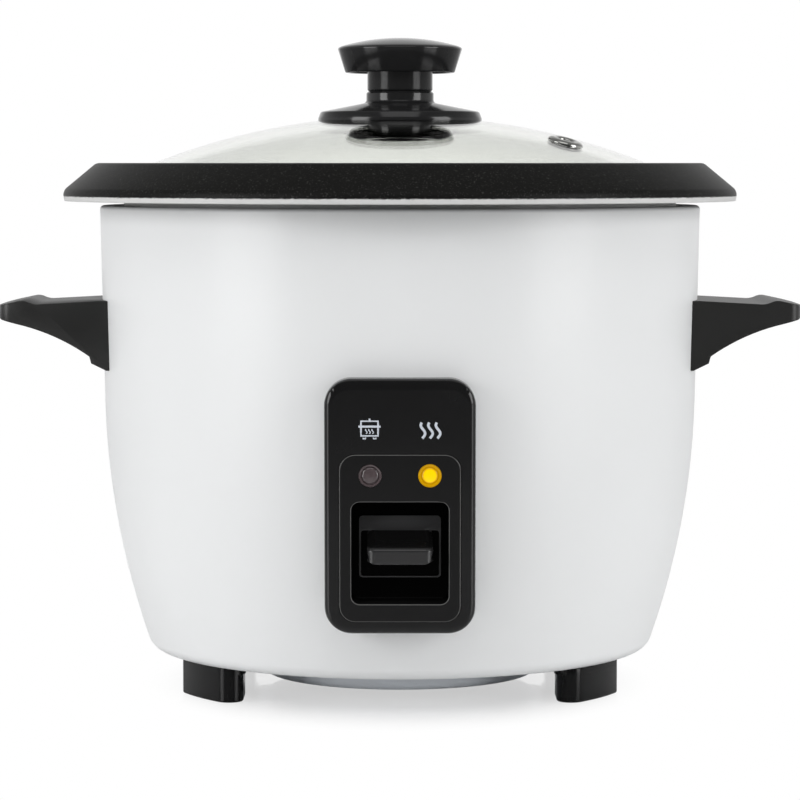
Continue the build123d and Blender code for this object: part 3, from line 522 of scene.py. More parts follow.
def coating():
    """Dark non-stick coating with fine flecks that leaves the lip's edge and the outer wall bare."""
    base = chosen("coating")
    finish = Finish("pot_coating", base, 0.42, Specular_IOR_Level=0.07)
    fleck = finish.spread(finish.noise(1500.0, 2.0), 0.60, 0.70)
    flecked = finish.mix(fleck, base, shade_of(base, 5.0))
    ragged = finish.spread(finish.noise(2600.0, 2.0), 0.3, 0.7, -0.0003, 0.0003)
    lip_height, soft = 0.19415, 0.0001
    lip = finish.spread(
        finish.math("SUBTRACT", finish.along("Z"), ragged), lip_height + soft, lip_height - soft)
    # the outer face is told from the coated one by how far it lies from the middle of the bottom corner's round
    corner_reach, corner_height, coated, limit = 0.091, 0.1068, 0.0182, 0.1
    outwards = finish.vector("LENGTH", finish.vector("MULTIPLY", finish.place, (1.0, 1.0, 0.0)))
    across = finish.spread(outwards, corner_reach, corner_reach + limit, 0.0, limit)
    down = finish.spread(finish.along("Z"), corner_height - limit, corner_height, limit, 0.0)
    from_corner = finish.vector("LENGTH", finish.node("CombineXYZ", across, 0.0, down).outputs["Vector"])
    bare = finish.product(lip, finish.spread(from_corner, coated, coated + soft))
    finish.set("Base Color", finish.mix(bare, flecked, (0.66, 0.66, 0.655)))
    finish.set("Specular IOR Level", finish.spread(bare, 0.0, 1.0, 0.07, 0.5))
    finish.relief(finish.noise(1300.0), 1.1e-4, 0.7)
    return finish.material


def gloss_plastic(name, roughness, lift, gloss):
    """Polished black moulding, lifted in tone and with its own strength of gloss."""
    base = shade_of(chosen("plastic"), lift)
    return varied(name, base, roughness, grain=700.0, depth=1.5e-6, contrast=0.06, Specular_IOR_Level=gloss)


def paddle_plastic():
    """Lever moulding, with painted shade in the shield's recess and on the tongue's sloping top, and painted
    light on the shield's top lip.
    """
    base = shade_of(chosen("plastic"), 3.0)
    finish = Finish("paddle_plastic", base, 0.18)
    height, depth = finish.along("Z"), finish.along("Y")
    # painted shade: near black in the shield's recess and most of the way to black on the tongue's sloping top
    below = finish.spread(height, 0.0731, 0.0729)
    behind = finish.spread(depth, -0.1192, -0.1190)
    sloping = finish.spread(height, 0.0668, 0.0674, 0.0, 0.88)
    slope = finish.product(sloping, finish.spread(depth, -0.1196, -0.1198))
    painted_shade = finish.product(below, finish.math("MAXIMUM", behind, slope))
    # painted light: the shield's top lip is made up to 2.6 times lighter towards its top edge
    lip = finish.mix(finish.spread(height, 0.0735, 0.0775), base, shade_of(base, 2.6))
    finish.set("Base Color", finish.mix(painted_shade, lip, (0.001, 0.001, 0.001)))
    finish.set("Specular IOR Level", finish.spread(painted_shade, 0.0, 1.0, 0.42, 0.04))
    return finish.material


def surround_plastic():
    """Insert moulding, with painted shade in the lever's well and a painted highlight line along its front edge.
    """
    base = chosen("plastic")
    finish = Finish("surround_plastic", base, 0.13)
    height, depth = finish.along("Z"), finish.along("Y")
    # painted shade: near black in the lever's well, above the lowest part of its floor
    painted_shade = finish.product(finish.spread(depth, -0.1212, -0.1194), finish.spread(height, 0.0460, 0.0478))
    low, high = INSERT_LEVELS
    front_low, front_high = (face_y(z) - INSERT_PROUD for z in INSERT_LEVELS)
    plane = finish.spread(height, low * MM, high * MM, front_low * MM, front_high * MM)
    behind = finish.math("SUBTRACT", depth, plane)
    # painted highlight: a thin light line just behind the insert's front plane, along its rounded edges
    edge = finish.product(finish.spread(behind, 2e-5, 6e-5), finish.spread(behind, 3.4e-4, 2.6e-4))
    painted_edge_highlight = finish.mix(edge, base, (0.09, 0.09, 0.088))
    finish.set("Base Color", finish.mix(painted_shade, painted_edge_highlight, (0.0006, 0.0006, 0.0006)))
    finish.set("Specular IOR Level", finish.spread(painted_shade, 0.0, 1.0, 0.22, 0.03))
    return finish.material


def grip_plastic():
    """Matte handle moulding with a fine spark-eroded grain."""
    return varied("grip_plastic", chosen("grip"), 0.42, 2600.0, 3e-5, 0.10, Specular_IOR_Level=0.4)


def clear_glass():
    """Clear tempered glass with a very faint green body."""
    finish = Finish("lid_glass", (0.925, 0.940, 0.900), 0.0, IOR=1.5, Transmission_Weight=1.0)
    finish.relief(finish.noise(14.0, 1.0), 6e-6, 0.3)
    return finish.material


def lit_lens():
    """Amber lens with the lamp's glow behind its middle."""
    sizes, base = bpy.context.scene.cooker_sizes, chosen("amber")
    finish = Finish("lens_amber", shade_of(base, 0.4), 0.16, Specular_IOR_Level=0.3)
    away = finish.vector("DISTANCE", finish.place, (sizes.lamp_spread, -0.1262, sizes.lamp_height))
    near, far = 0.0024, 0.0031
    finish.set("Emission Color", finish.mix(finish.spread(away, far, near), base, (1.0, 0.68, 0.001)))
    finish.set("Emission Strength", finish.spread(away, far, near, 0.36, 0.84))
    return finish.material


def unlit_lens():
    """Clear lens over a dark lamp, faintly rose."""
    finish = Finish("lens_clear", chosen("rose"), 0.10, Transmission_Weight=0.35, IOR=1.49, Coat_Weight=0.5,
                    Coat_Roughness=0.04)
    finish.relief(finish.noise(900.0, 1.0), 3e-5, 0.4)
    return finish.material


def icon_ink():
    """Light blue-grey print, made once."""
    return bpy.data.materials.get("pictogram_ink") or varied(
        "pictogram_ink", chosen("print_tone"), 0.5, 3000.0, 5e-6, 0.05)


# slot: colour, roughness and, for drawn sheet, the stretch of the grain
METALS = {
    "liner_steel": ((0.60, 0.60, 0.61), 0.38, (1.0, 1.0, 18.0)),
    "cast_aluminium": ((0.62, 0.62, 0.63), 0.42),
    "element_steel": ((0.34, 0.32, 0.30), 0.5),
    "zinc_screws": ((0.62, 0.62, 0.63), 0.30),
    "spring_steel": ((0.52, 0.52, 0.53), 0.28),
    "plated_steel": ((0.62, 0.62, 0.60), 0.34),
    "sensor_aluminium": ((0.70, 0.70, 0.71), 0.33),
    "pin_brass": ((0.66, 0.52, 0.28), 0.28),
}
# slot: colour, roughness and, for woven sleeves, the fineness of the grain
DULLS = {
    "mica_band": ((0.45, 0.36, 0.22), 0.6),
    "ferrite": ((0.045, 0.045, 0.05), 0.55),
    "switch_resin": ((0.10, 0.045, 0.02), 0.45),
    "button_white": ((0.72, 0.72, 0.70), 0.4),
    "inlet_black": ((0.022, 0.022, 0.023), 0.35),
    "porcelain": ((0.72, 0.69, 0.62), 0.35),
    "fuse_sleeve": ((0.66, 0.62, 0.50), 0.8, 2200.0),
    "lead_sleeve": ((0.70, 0.67, 0.58), 0.8, 2200.0),
    "gasket_rubber": ((0.05, 0.05, 0.05), 0.4),
}
# slot: roughness, lift in tone and strength of gloss
GLOSSY = {
    "panel_black": (0.15, 1.1, 0.30),
    "foot_black": (0.20, 0.9, 0.16),
    "knob_black": (0.14, 2.3, 0.32),
    "cap_black": (0.2, 1.4, 0.5),
}
SPECIAL = {
    "white_enamel": enamel,
    "white_paint": lambda: varied("bottom_paint", chosen("paint"), 0.38, 600.0, 8e-6, 0.02),
    "nonstick_coating": coating,
    "paddle_black": paddle_plastic,
    "surround_black": surround_plastic,
    "lens_clear": unlit_lens,
    "lens_amber": lit_lens,
    "neon_glass": lambda: varied(
        "neon_glass", (0.75, 0.70, 0.66), 0.08, contrast=0.05, Transmission_Weight=0.8),
    "handle_black": grip_plastic,
    "lid_glass": clear_glass,
    "stainless": lambda: varied("stainless", (0.40, 0.40, 0.385), 0.14, 1400.0, 8e-6, 0.06, Metallic=0.9),
}


def metal(name, base, roughness, stretch=None):
    """A bare or plated metal with a fine grain."""
    return varied(name, base, roughness, 1400.0, 8e-6, 0.10, stretch, Metallic=1.0)


def dull(name, base, roughness, grain=1500.0):
    """A dull solid material."""
    return varied(name, base, roughness, grain, 3e-5, 0.10)


def finish_for(slot):
    """The material of a slot of the record, made once."""
    name = "finish_" + slot
    if name in bpy.data.materials:
        return bpy.data.materials[name]
    for table, maker in ((METALS, metal), (DULLS, dull), (GLOSSY, gloss_plastic)):
        if slot in table:
            return maker(name, *table[slot])
    made = SPECIAL[slot]()
    made.name = name
    return made


# ---- shared forms -------------------------------------------------------------------------
DRUM_SHOULDER = (117.65, 113.0)
DRUM_BELLY = (113.35, 68.0)
DRUM_HEEL = (99.06, 14.0)
DRUM_TOP = (119.3, 190.5)
DRUM_MOUTH = 114.0
DRUM_FLOOR_HOLE = 86.0
PANEL_LEVELS = (22.0, 34.0, 46.0, 58.0, 70.0, 82.0, 94.0, 105.0, 115.5, 131.0)
LID_APEX, LID_RIM = 226.0, 112.5
LENS_SEAT = -120.1
ICON_FACE, ICON_LEAN = -125.62, radians(3.2)
SCREW_RING, POST_RING = 79.5, 70.0
# half width, heights and corner of the insert and of the lever's well as they show on the panel
INSERT_FORM = (22.25, (39.15, 101.25), 5.95)
WELL_FORM = (17.8, (45.9, 83.6), 3.0)


def drum_line(start, end):
    """Outer section of the drum between two distances from its axis, at its floor and at its top."""
    side = arc(DRUM_HEEL, DRUM_BELLY, DRUM_SHOULDER, 22)
    return [(start, DRUM_HEEL[1]), *side, DRUM_TOP, (end, DRUM_TOP[1])]


def drum_core():
    """The drum's outer form as a filled body, for cutting pieces that sit against it."""
    return spin(chain("drum_core", drum_line(0.0, 0.0)))


def ring_spot(reach, bearing):
    """The x and y of a place round the axis, bearing in degrees."""
    return reach * cos(radians(bearing)), reach * sin(radians(bearing))


def behind_face(name, shift, levels):
    """All that lies behind the panel's bowed face, moved back by shift and bent at the given heights."""
    points = [(face_y(z) + shift, z) for z in levels] + [(-60.0, levels[-1]), (-60.0, levels[0])]
    return moulding(name, points, 60.0, across=True)


# ---- operators ----------------------------------------------------------------------------
class COOKER_OT_drum(bpy.types.Operator):
    """Spin the enamelled drum and cut its windows for the panel and the power inlet"""

    bl_idname = "cooker.drum"
    bl_label = "Drum"

    def execute(self, context):
        points = drum_line(DRUM_FLOOR_HOLE, DRUM_MOUTH)
        drum = spin(chain("drum_shell", points, [(1, 4.6, 10), (len(points) - 2, 1.5, 5)]))
        thicken(drum, context.scene.cooker_sizes.sheet, -1.0)
        combine(drum, bar("panel_window", 21.0, (46.0, 100.0), 4.0, (-130.0, -90.0), 4))
        combine(drum, bar("inlet_window", 15.8, (31.7, 52.3), 2.0, (90.0, 125.0), 4))
        fit_out(shade(drum), "outer_body")
        return {"FINISHED"}


class COOKER_OT_pot(bpy.types.Operator):
    """Spin the pot with its ledge for the lid and its flared, turned-down rim"""

    bl_idname = "cooker.pot"
    bl_label = "Pot"

    def execute(self, context):
        wall, ledge, top, lip = 109.0, 198.2, 206.4, 192.3
        points = [(0.0, 88.8), (wall, 88.8), (wall, ledge), (113.8, ledge), (118.4, top), (120.4, top),
                  (133.2, 195.8), (132.6, lip)]
        corners = [(1, 18.0, 12), (2, 1.2, 4), (3, 1.0, 4), (4, 0.8, 4), (5, 0.9, 4), (6, 1.6, 6)]
        pot = spin(chain("pot_shell", points, corners))
        thicken(pot, context.scene.cooker_sizes.pot_sheet)

        def on_lip(co, along):
            return co.z < lip + 0.3 and sqrt(co.x**2 + co.y**2) > 130.0 and abs(along.z) < 0.1

        bevel(pot, "EDGE", on_lip, 0.35, 2)
        fit_out(shade(pot), "inner_pot")
        return {"FINISHED"}


class COOKER_OT_lid(bpy.types.Operator):
    """Spin the domed lid glass, drill its bore and vent, and line the vent with its eyelet"""

    bl_idname = "cooker.lid"
    bl_label = "Glass lid"

    def execute(self, context):
        sizes = context.scene.cooker_sizes
        outer = sizes.lid_radius / MM
        inner, centre = outer - sizes.glass / MM, LID_APEX - outer
        bore, low = 5.5, 199.0

        def ball_line(ball, start, end):
            reaches = [start + (end - start) * step / 24 for step in range(25)]
            return [(r, centre + sqrt(ball**2 - r**2)) for r in reaches]

        under = ball_line(inner, sqrt(inner**2 - (low - centre) ** 2), bore)
        points = ball_line(outer, bore, LID_RIM) + [(LID_RIM, low)] + under
        glass = spin(chain("glass_dome", points, [(24, 0.9, 4), (25, 0.9, 4), (26, 0.6, 3)], closed=True))
        vent_x, vent_y = 64.0, -39.7
        normal = Vector((vent_x, vent_y, sqrt(outer**2 - vent_x**2 - vent_y**2))).normalized()
        spot = (Vector((0, 0, centre)) + normal * outer) * MM
        aim = Vector((0, 0, 1)).rotation_difference(normal).to_matrix().to_4x4()
        drill = peg("vent_drill", 0, 0, (-8.0, 8.0), 5.2, 48)
        drill.data.transform(Matrix.Translation(spot) @ aim)
        combine(glass, drill)
        fit_out(shade(glass), "lid_glass")
        inside = -sizes.glass / MM - 0.15
        section = [(3.0, 0.6), (3.4, 1.2), (4.6, 1.45), (6.0, 1.15), (6.9, 0.55), (7.0, 0.02), (5.18, 0.02),
                   (5.18, inside), (6.6, inside), (6.6, inside - 0.6), (3.8, inside - 0.9), (3.0, inside - 0.6)]
        eyelet = spin(chain("vent_ring", section, closed=True), 56)
        eyelet.data.transform(Matrix.Translation(spot) @ aim)
        fit_out(shade(eyelet, 50), "vent_eyelet")
        return {"FINISHED"}


class COOKER_OT_knob(bpy.types.Operator):
    """Spin the knob's head, its flange and the clamp hardware under the glass"""

    bl_idname = "cooker.knob"
    bl_label = "Lid knob"

    def execute(self, context):
        joint, top = HEAD_LOW.z / MM, HEAD_HIGH.z / MM
        hollow, skirt = 246.6, 243.0
        head = [(0.0, joint), (12.4, joint), (13.0, joint + 0.6), (13.0, hollow), (19.6, hollow), (20.0, skirt),
                (21.75, skirt), (24.8, 252.6), (23.7, 253.4), *crown(23.7, 253.4, top, 12)[1:]]
        rounds = [(1, 0.3, 2), (2, 0.3, 2), (3, 0.8, 4), (4, 0.8, 4), (5, 0.3, 2), (6, 0.6, 4), (7, 0.45, 4),
                  (8, 0.6, 4)]
        knob = spin(chain("knob_head", head, rounds))
        fit_out(shade(knob), "knob")
        flange = [(2.6, 222.0), (2.6, joint), (12.7, joint), (13.4, joint - 0.8), (13.4, 231.1), (31.6, 227.5),
                  (32.6, 224.9), (32.6, 223.6), (30.6, 223.0), (28.6, 226.0), (14.0, 228.0), (9.0, 228.0),
                  (9.0, 222.0)]
        rounds = [(2, 0.3, 2), (4, 1.2, 5), (5, 0.6, 4), (6, 0.3, 2)]
        base = spin(chain("knob_flange", flange, rounds, closed=True))
        ball = context.scene.cooker_sizes.lid_radius
        work_on(None)
        bpy.ops.mesh.primitive_uv_sphere_add(
            segments=144, ring_count=288, radius=ball, location=(0, 0, (LID_APEX - ball / MM) * MM))
        combine(base, added("glass_ball"))
        fit_out(shade(base), "knob_base")
        washer = chain("clamp_dish", [(2.6, 219.4), (8.6, 219.4), (11.0, 217.2), (17.0, 217.2), (22.0, 219.6)],
                       [(1, 0.8, 4), (2, 0.8, 4), (3, 1.6, 5)])
        thicken(spin(washer, 96), 0.9 * MM)
        fit_out(shade(washer, 45), "knob_washer")
        screw = [(0.0, 246.0), (1.4, 246.0), (2.35, 244.8), (2.35, 218.95), (7.9, 218.95), (7.9, 217.4),
                 *crown(7.9, 217.4, 216.1, 8)[1:]]
        fit_out(shade(spin(chain("cap_screw", screw, [(4, 0.4, 3), (5, 0.5, 3)]), 64)), "knob_screw")
        return {"FINISHED"}


class COOKER_OT_panel(bpy.types.Operator):
    """Mould the bowed control panel with its bevelled rim and its window"""

    bl_idname = "cooker.panel"
    bl_label = "Control panel"

    def execute(self, context):
        half, low, high = PANEL_HIGH.x / MM, PANEL_LOW.z / MM, PANEL_HIGH.z / MM
        corner, wall, draw_in = 10.0, 2.0, 0.784
        panel = bar("panel_moulding", half, (low, high), corner, (-135.0, -95.0), 12)
        combine(panel, behind_face("face_cut", 0.0, PANEL_LEVELS), "INTERSECT")

        def on_rim(co, along):
            crossing = abs(along.x) > 0.99 and low + 0.1 < co.z < high - 0.1
            return co.y < -117.0 and abs(along.y) < 0.5 and not crossing

        bevel(panel, "EDGE", on_rim, context.scene.cooker_sizes.panel_bevel / MM, 4)
        # the bevel is wider along the top: its inner outline is drawn in towards the corners' middles
        pivot = high - corner
        (under, above), level = PANEL_LEVELS[-2:], face_y(PANEL_LEVELS[-2])
        face = level + (pivot - under) / (above - under) * (face_y(above) - level)
        pick(panel, "VERT", lambda co, normal: co.z > pivot + 0.05 and co.y < face_y(co.z) + 0.3)
        bpy.ops.transform.resize(
            value=(1.0, draw_in, draw_in), center_override=(0.0, face * MM, pivot * MM))
        leave(panel)
        hollow = bar("hollow", half - wall, (low + wall, high - wall), corner - wall, (-135.0, -90.0))
        combine(panel, combine(hollow, behind_face("hollow_cut", wall, PANEL_LEVELS), "INTERSECT"))
        combine(panel, bar("window", 22.3, (39.1, 101.3), 6.0, (-140.0, -90.0)))
        combine(panel, drum_core())
        fit_out(soften(panel, 0.25, 40.0), "panel_bezel")
        return {"FINISHED"}


class COOKER_OT_insert(bpy.types.Operator):
    """Mould the raised insert with the lamp holes and the lever's well"""

    bl_idname = "cooker.insert"
    bl_label = "Switch insert"

    def execute(self, context):
        sizes = context.scene.cooker_sizes
        spread, height = sizes.lamp_spread / MM, sizes.lamp_height / MM
        thickness, slope = 1.9, 1.9
        plate = bar("insert_plate", *INSERT_FORM, (-135.0, -90.0))
        combine(plate, behind_face("proud_cut", -INSERT_PROUD, INSERT_LEVELS), "INTERSECT")
        ease_outline(plate, *INSERT_FORM)
        combine(plate, behind_face("plate_back", 2.0, INSERT_LEVELS))
        backs = [bar("well_wall", 19.3, (44.3, 85.1), 4.5, (-135.0, -112.6))]
        backs += [tube("lamp_tube", side * spread, height, (-135.0, -115.0), 5.55) for side in (-1, 1)]
        for back in backs:
            combine(back, behind_face("back_front", thickness, INSERT_LEVELS), "INTERSECT")
            combine(plate, back, "UNION")
        x_half, (low, high), corner = WELL_FORM
        hole = bar("well_hole", x_half, (low - 0.7, high), corner, (-126.0, -113.8), 6)
        pick(hole, "VERT", lambda co, normal: co.y > -115.0 and co.z < 60.0)
        bpy.ops.transform.translate(value=(0.0, 0.0, slope * MM))
        combine(plate, leave(hole))
        ease_outline(plate, *WELL_FORM, 0.3)
        combine(plate, bar("lever_slot", 7.5, (55.2, 68.2), 1.5, (-140.0, -100.0), 4))
        for side in (-1, 1):
            combine(plate, tube("lamp_hole", side * spread, height, (-140.0, -105.0), 4.3))
        fit_out(soften(plate, 0.3, 40.0), "switch_surround")
        return {"FINISHED"}


def ease_outline(plate, x_half, z_span, corner, slack=0.05):
    """Round the edge of the insert's front where it follows a rounded rectangle, within some slack."""
    middle, z_half = sum(z_span) / 2, (z_span[1] - z_span[0]) / 2

    def on_outline(co, along):
        across, up = abs(co.x) - (x_half - corner), abs(co.z - middle) - (z_half - corner)
        reach = sqrt(max(across, 0.0) ** 2 + max(up, 0.0) ** 2) + min(max(across, up), 0.0) - corner
        return abs(reach) < slack and co.y < face_y(co.z) - INSERT_PROUD + 0.6 and abs(along.y) < 0.3

    bevel(plate, "EDGE", on_outline, 0.5, 3)


class COOKER_OT_lamps(bpy.types.Operator):
    """Spin the two lamp lenses, each a ring round a small dome"""

    bl_idname = "cooker.lamps"
    bl_label = "Lamp lenses"

    def execute(self, context):
        sizes = context.scene.cooker_sizes
        section = [(0.0, 0.0), (4.25, 0.0), (4.25, 5.0), (3.95, 5.35), (3.45, 5.2), (3.2, 4.6), (2.9, 4.75),
                   *crown(2.7, 4.95, 5.25, 6)]
        lens = spin(chain("lens_form", section, [(1, 0.3, 2)]), 56)
        for side, name, node in ((-1, "lens_unlit", "cook_lens"), (1, "lens_lit", "warm_lens")):
            spot = Matrix.Translation((side * sizes.lamp_spread, LENS_SEAT * MM, sizes.lamp_height))
            fit_out(shade(twin(lens, name, spot @ Matrix.Rotation(pi / 2, 4, "X")), 50), node)
        bpy.data.objects.remove(lens, do_unlink=True)
        return {"FINISHED"}


class COOKER_OT_pictograms(bpy.types.Operator):
    """Print the pot and steam pictograms on the panel as thin raised shapes"""

    bl_idname = "cooker.pictograms"
    bl_label = "Pictograms"

    def execute(self, context):
        sizes = context.scene.cooker_sizes
        pot = [
            stroke("icon_knob", [(-0.35, 3.45), (0.35, 3.45)], 0.42),
            stroke("icon_lid", [(-3.1, 1.2), (-3.1, 2.9), (3.1, 2.9), (3.1, 1.2)], 0.36),
            stroke("icon_rim", [(-4.05, 0.9), (4.05, 0.9)], 0.40),
            stroke("icon_body", [(-3.1, 0.8), (-3.1, -2.5), (3.1, -2.5), (3.1, 0.8)], 0.38),
            stroke("icon_foot_left", [(-2.3, -3.1), (-2.3, -3.55), (-1.5, -3.55), (-1.5, -3.1)], 0.30),
            stroke("icon_foot_right", [(1.5, -3.1), (1.5, -3.55), (2.3, -3.55), (2.3, -3.1)], 0.30),
        ]
        pot += wisps("icon_vapour", 1.15, -0.85, 1.7, 0.28, 0.20)
        steam = wisps("steam", 2.75, -0.5, 5.8, 0.8, 0.48)
        flat = Matrix.Rotation(ICON_LEAN, 4, "X") @ Matrix.Diagonal((1, 0.28, 1, 1))
        for name, strokes, side in (("pictogram_pot", pot, -1), ("pictogram_steam", steam, 1)):
            icon = joined(name, strokes)
            spot = Matrix.Translation((side * sizes.icon_spread, ICON_FACE * MM, sizes.icon_height))
            icon.data.transform(spot @ flat)
            fit_out(shade(icon, 60), "panel_bezel", replaces=False, material=icon_ink())
        return {"FINISHED"}


def stroke(name, points, thickness):
    """A round-ended line of ink along points in the XZ plane, made from a curve and turned into a mesh."""
    work_on(None)
    curve = bpy.data.curves.new(name, "CURVE")
    curve.dimensions = "3D"
    curve.bevel_depth = thickness * MM
    curve.bevel_resolution = 2
    curve.use_fill_caps = True
    line = curve.splines.new("POLY")
    line.points.add(len(points) - 1)
    for spot, (x, z) in zip(line.points, points):
        spot.co = (x * MM, 0.0, z * MM, 1.0)
    obj = bpy.data.objects.new(name, curve)
    bpy.context.scene.collection.objects.link(obj)
    work_on(obj)
    bpy.ops.object.convert(target="MESH")
    return close_up(active(), 1e-7)


def wisps(name, pitch, z, height, swing, thickness):
    """Three wisps of steam side by side."""
    shares = [step / 18 for step in range(19)]
    line = [(swing * sin(2 * pi * 0.95 * k - 0.25), z - height / 2 + height * k) for k in shares]
    return [stroke(f"{name}_{number}", [(x + pitch * (number - 2), up) for x, up in line], thickness)
            for number in (1, 2, 3)]


class COOKER_OT_paddle(bpy.types.Operator):
    """Mould the lever's paddle with the shield behind it"""

    bl_idname = "cooker.paddle"
    bl_label = "Switch paddle"

    def execute(self, context):
        half, low, high, back = 15.0, 55.6, 78.0, -115.6
        shield_line = [(back, low), (-119.5, low), (-119.5, 73.3), (-115.9, high), (back, high)]
        shield = moulding("paddle_moulding", shield_line, half, across=True)
        tongue_line = [(-117.5, 61.7), (-127.4, 60.9), (-127.9, 66.2), (-126.9, 67.4), (-119.4, 73.4),
                       (-117.5, 73.4)]
        tongue = moulding("tongue", tongue_line, 12.1, [(1, 0.9, 4), (2, 0.5, 3), (3, 1.2, 5)], across=True)
        bevel(tongue, "EDGE", lambda co, along: co.y < -118.5 and abs(co.x) > 12.0, 3.2, 3)
        combine(shield, bar("shield_form", half, (low, high), 1.3, (-121.0, -115.0), 5), "INTERSECT")
        combine(shield, bar("recess", 14.3, (56.1, 72.9), 1.0, (-121.0, -118.0), 5))
        combine(shield, tongue, "UNION")
        combine(shield, slab("grip", (-6.4, -115.8, 63.4), (6.4, -107.0, 66.6)), "UNION")
        combine(shield, slab("socket", (-6.0, -114.5, 64.25), (6.0, -105.0, 65.75)))
        fit_out(soften(shield, 0.35, 38.0, 3), "switch_paddle")
        return {"FINISHED"}


class COOKER_OT_handles(bpy.types.Operator):
    """Mould one side handle with its thumb ridge and hollow underside, and mirror it"""

    bl_idname = "cooker.handles"
    bl_label = "Side handles"

    def execute(self, context):
        half, reach = 31.5, 160.0
        under = arc((121.6, 131.6), (134.0, 138.8), (150.0, 144.3), 10)
        line = [(100.0, 153.4), (100.0, 126.0), (114.9, 126.0), (120.9, 128.9), *under, (reach, 147.0),
                (reach - 1.0, 151.2), (147.2, 153.7), (143.2, 152.0), (117.0, 153.4)]
        ridge = len(line) - 3
        body = moulding("grip_right", line, half, [(ridge, 1.6, 5), (ridge + 1, 1.6, 5)])
        tip = arc((reach - 4.4, -half), (reach, 0.0), (reach - 4.4, half), 16)
        outline = [(90.0, -half), *tip, (90.0, half)]
        plan = chain("plan", outline, [(1, 3.0, 6), (len(tip), 3.0, 6)], closed=True)
        plan = fill_and_push(turn(plan, (-pi / 2, 0, 0)), (0, 0, 120.0))
        combine(body, turn(plan, location=(0, 0, 0.08)), "INTERSECT")
        pocket_line = [(126.0, 118.0), (126.0, 149.6), (150.0, 149.6), (154.2, 148.9), (155.4, 118.0)]
        pocket = moulding("pocket", pocket_line, half - 2.4, [(1, 1.5, 4)])
        combine(pocket, slab("rib", (110.0, -1.0, 110.0), (170.0, 1.0, 160.0)))
        combine(body, pocket)
        combine(body, drum_core())
        right = soften(body, 0.7, 30.0, 3)
        left = twin(right, "grip_left", Matrix.Scale(-1, 4, (1, 0, 0)))
        fit_out(right, "handle_right")
        fit_out(left, "handle_left")
        return {"FINISHED"}


class COOKER_OT_feet(bpy.types.Operator):
    """Mould one foot that follows the drum, with its flange and screw recess, and copy it to the four corners"""

    bl_idname = "cooker.feet"
    bl_label = "Feet"

    def execute(self, context):
        inner, outer, side, end = 73.4, 93.2, 60.4, radians(23.0)
        flange, step = 10.8, 3.2
        tip_radius = 5.5
        tip_x = side + tip_radius
        tip_y = sqrt((outer - tip_radius) ** 2 - tip_x**2)
        tip, start = atan2(tip_y, tip_x), atan2(sqrt(inner**2 - side**2), side)
        outline = fan((0.0, 0.0), inner, start, end, 12) + fan((0.0, 0.0), outer, end, tip, 12)
        outline += fan((tip_x, tip_y), tip_radius, tip, pi, 14)[1:]
        foot = chain("foot", outline, [(0, 2.4, 4), (12, 2.4, 4), (13, 2.6, 5)], closed=True)
        fill_and_push(turn(foot, (-pi / 2, 0, 0)), (0, 0, flange))
        bevel(foot, "EDGE", lambda co, along: co.z < 0.1, 0.8, 4)
        pick(foot, "FACE", lambda co, normal: co.z > flange - 0.1 and normal.z > 0.9)
        bpy.ops.mesh.extrude_region_move(TRANSFORM_OT_translate={"value": (0, 0, step * MM)})

        def on_flange(co, normal):
            inwards = co.x * normal.x + co.y * normal.y < 0.4 * outer
            return co.z > flange + 0.1 and abs(normal.z) < 0.1 and inwards

        pick(foot, "FACE", on_flange)
        bpy.ops.mesh.extrude_region_shrink_fatten(TRANSFORM_OT_shrink_fatten={"value": 0.9 * MM})
        close_up(foot)
        combine(foot, peg("recess", *ring_spot(SCREW_RING, 32.0), (-3.0, 8.0), 4.4, 40))
        soften(foot, 0.3, 35.0)
        for name, node, y_side in (("foot_back", "foot_rear", 1), ("foot_near", "foot_front", -1)):
            for hand, x_side in (("_right", 1), ("_left", -1)):
                fit_out(twin(foot, name + hand, Matrix.Diagonal((x_side, y_side, 1, 1))), node + hand)
        bpy.data.objects.remove(foot, do_unlink=True)
        return {"FINISHED"}


class COOKER_OT_bottom(bpy.types.Operator):
    """Spin the bottom plate with its dish and stepped rim, and punch its vents, slots and screw holes"""

    bl_idname = "cooker.bottom"
    bl_label = "Bottom plate"

    def execute(self, context):
        sheet = context.scene.cooker_sizes.sheet / MM
        dish, flat, rim = 3.4 + sheet / 2, 14.0 + sheet / 2, 14.8 + sheet / 2
        section = [(0.0, dish), (54.6, dish), (56.6, flat), (84.7, flat), (85.6, rim), (92.4, rim)]
        plate = spin(chain("bottom_sheet", section, [(1, 3.0, 8), (2, 1.0, 4), (3, 0.4, 2), (4, 0.4, 2)]))
        thicken(plate, sheet * MM)
        through = (10.0, 20.0)
        punches = []
        pitch = 8.0
        for row in range(-10, 11):
            for column in range(-11, 12):
                x, y = (column + (row % 2) / 2) * pitch, row * pitch * 0.866
                bearing = degrees(atan2(abs(x), abs(y)))
                if 61.5 < sqrt(x * x + y * y) < 82.5 and 9.0 < bearing < 43.0:
                    punches.append(peg("vent", x, y, through, 2.1, 20))
        for middle in range(10, 360, 20):
            for bearing in (middle - 3, middle, middle + 3):
                slot = slab("slot", (58.5, -0.6, through[0]), (61.4, 0.6, through[1]))
                punches.append(turn(slot, (0, 0, radians(bearing))))
        for reach, bearings in ((POST_RING, (0, 90, 180)), (SCREW_RING, (32, 148, 212, 328))):
            for bearing in bearings:
                punches.append(peg("screw_hole", *ring_spot(reach, bearing), through, 2.1, 24))
        combine(plate, joined("punches", punches))
        fit_out(shade(plate), "bottom_plate")
        return {"FINISHED"}


class COOKER_OT_inner_parts(bpy.types.Operator):
    """Give every CAD node that still shows its own finish"""

    bl_idname = "cooker.inner_parts"
    bl_label = "Inner parts"

    def execute(self, context):
        for node, obj in frame["nodes"].items():
            material = finish_for(NODE_SLOT[node])
            for slot in obj.material_slots:
                slot.material = material
            if not obj.material_slots:
                obj.data.materials.append(material)
        return {"FINISHED"}


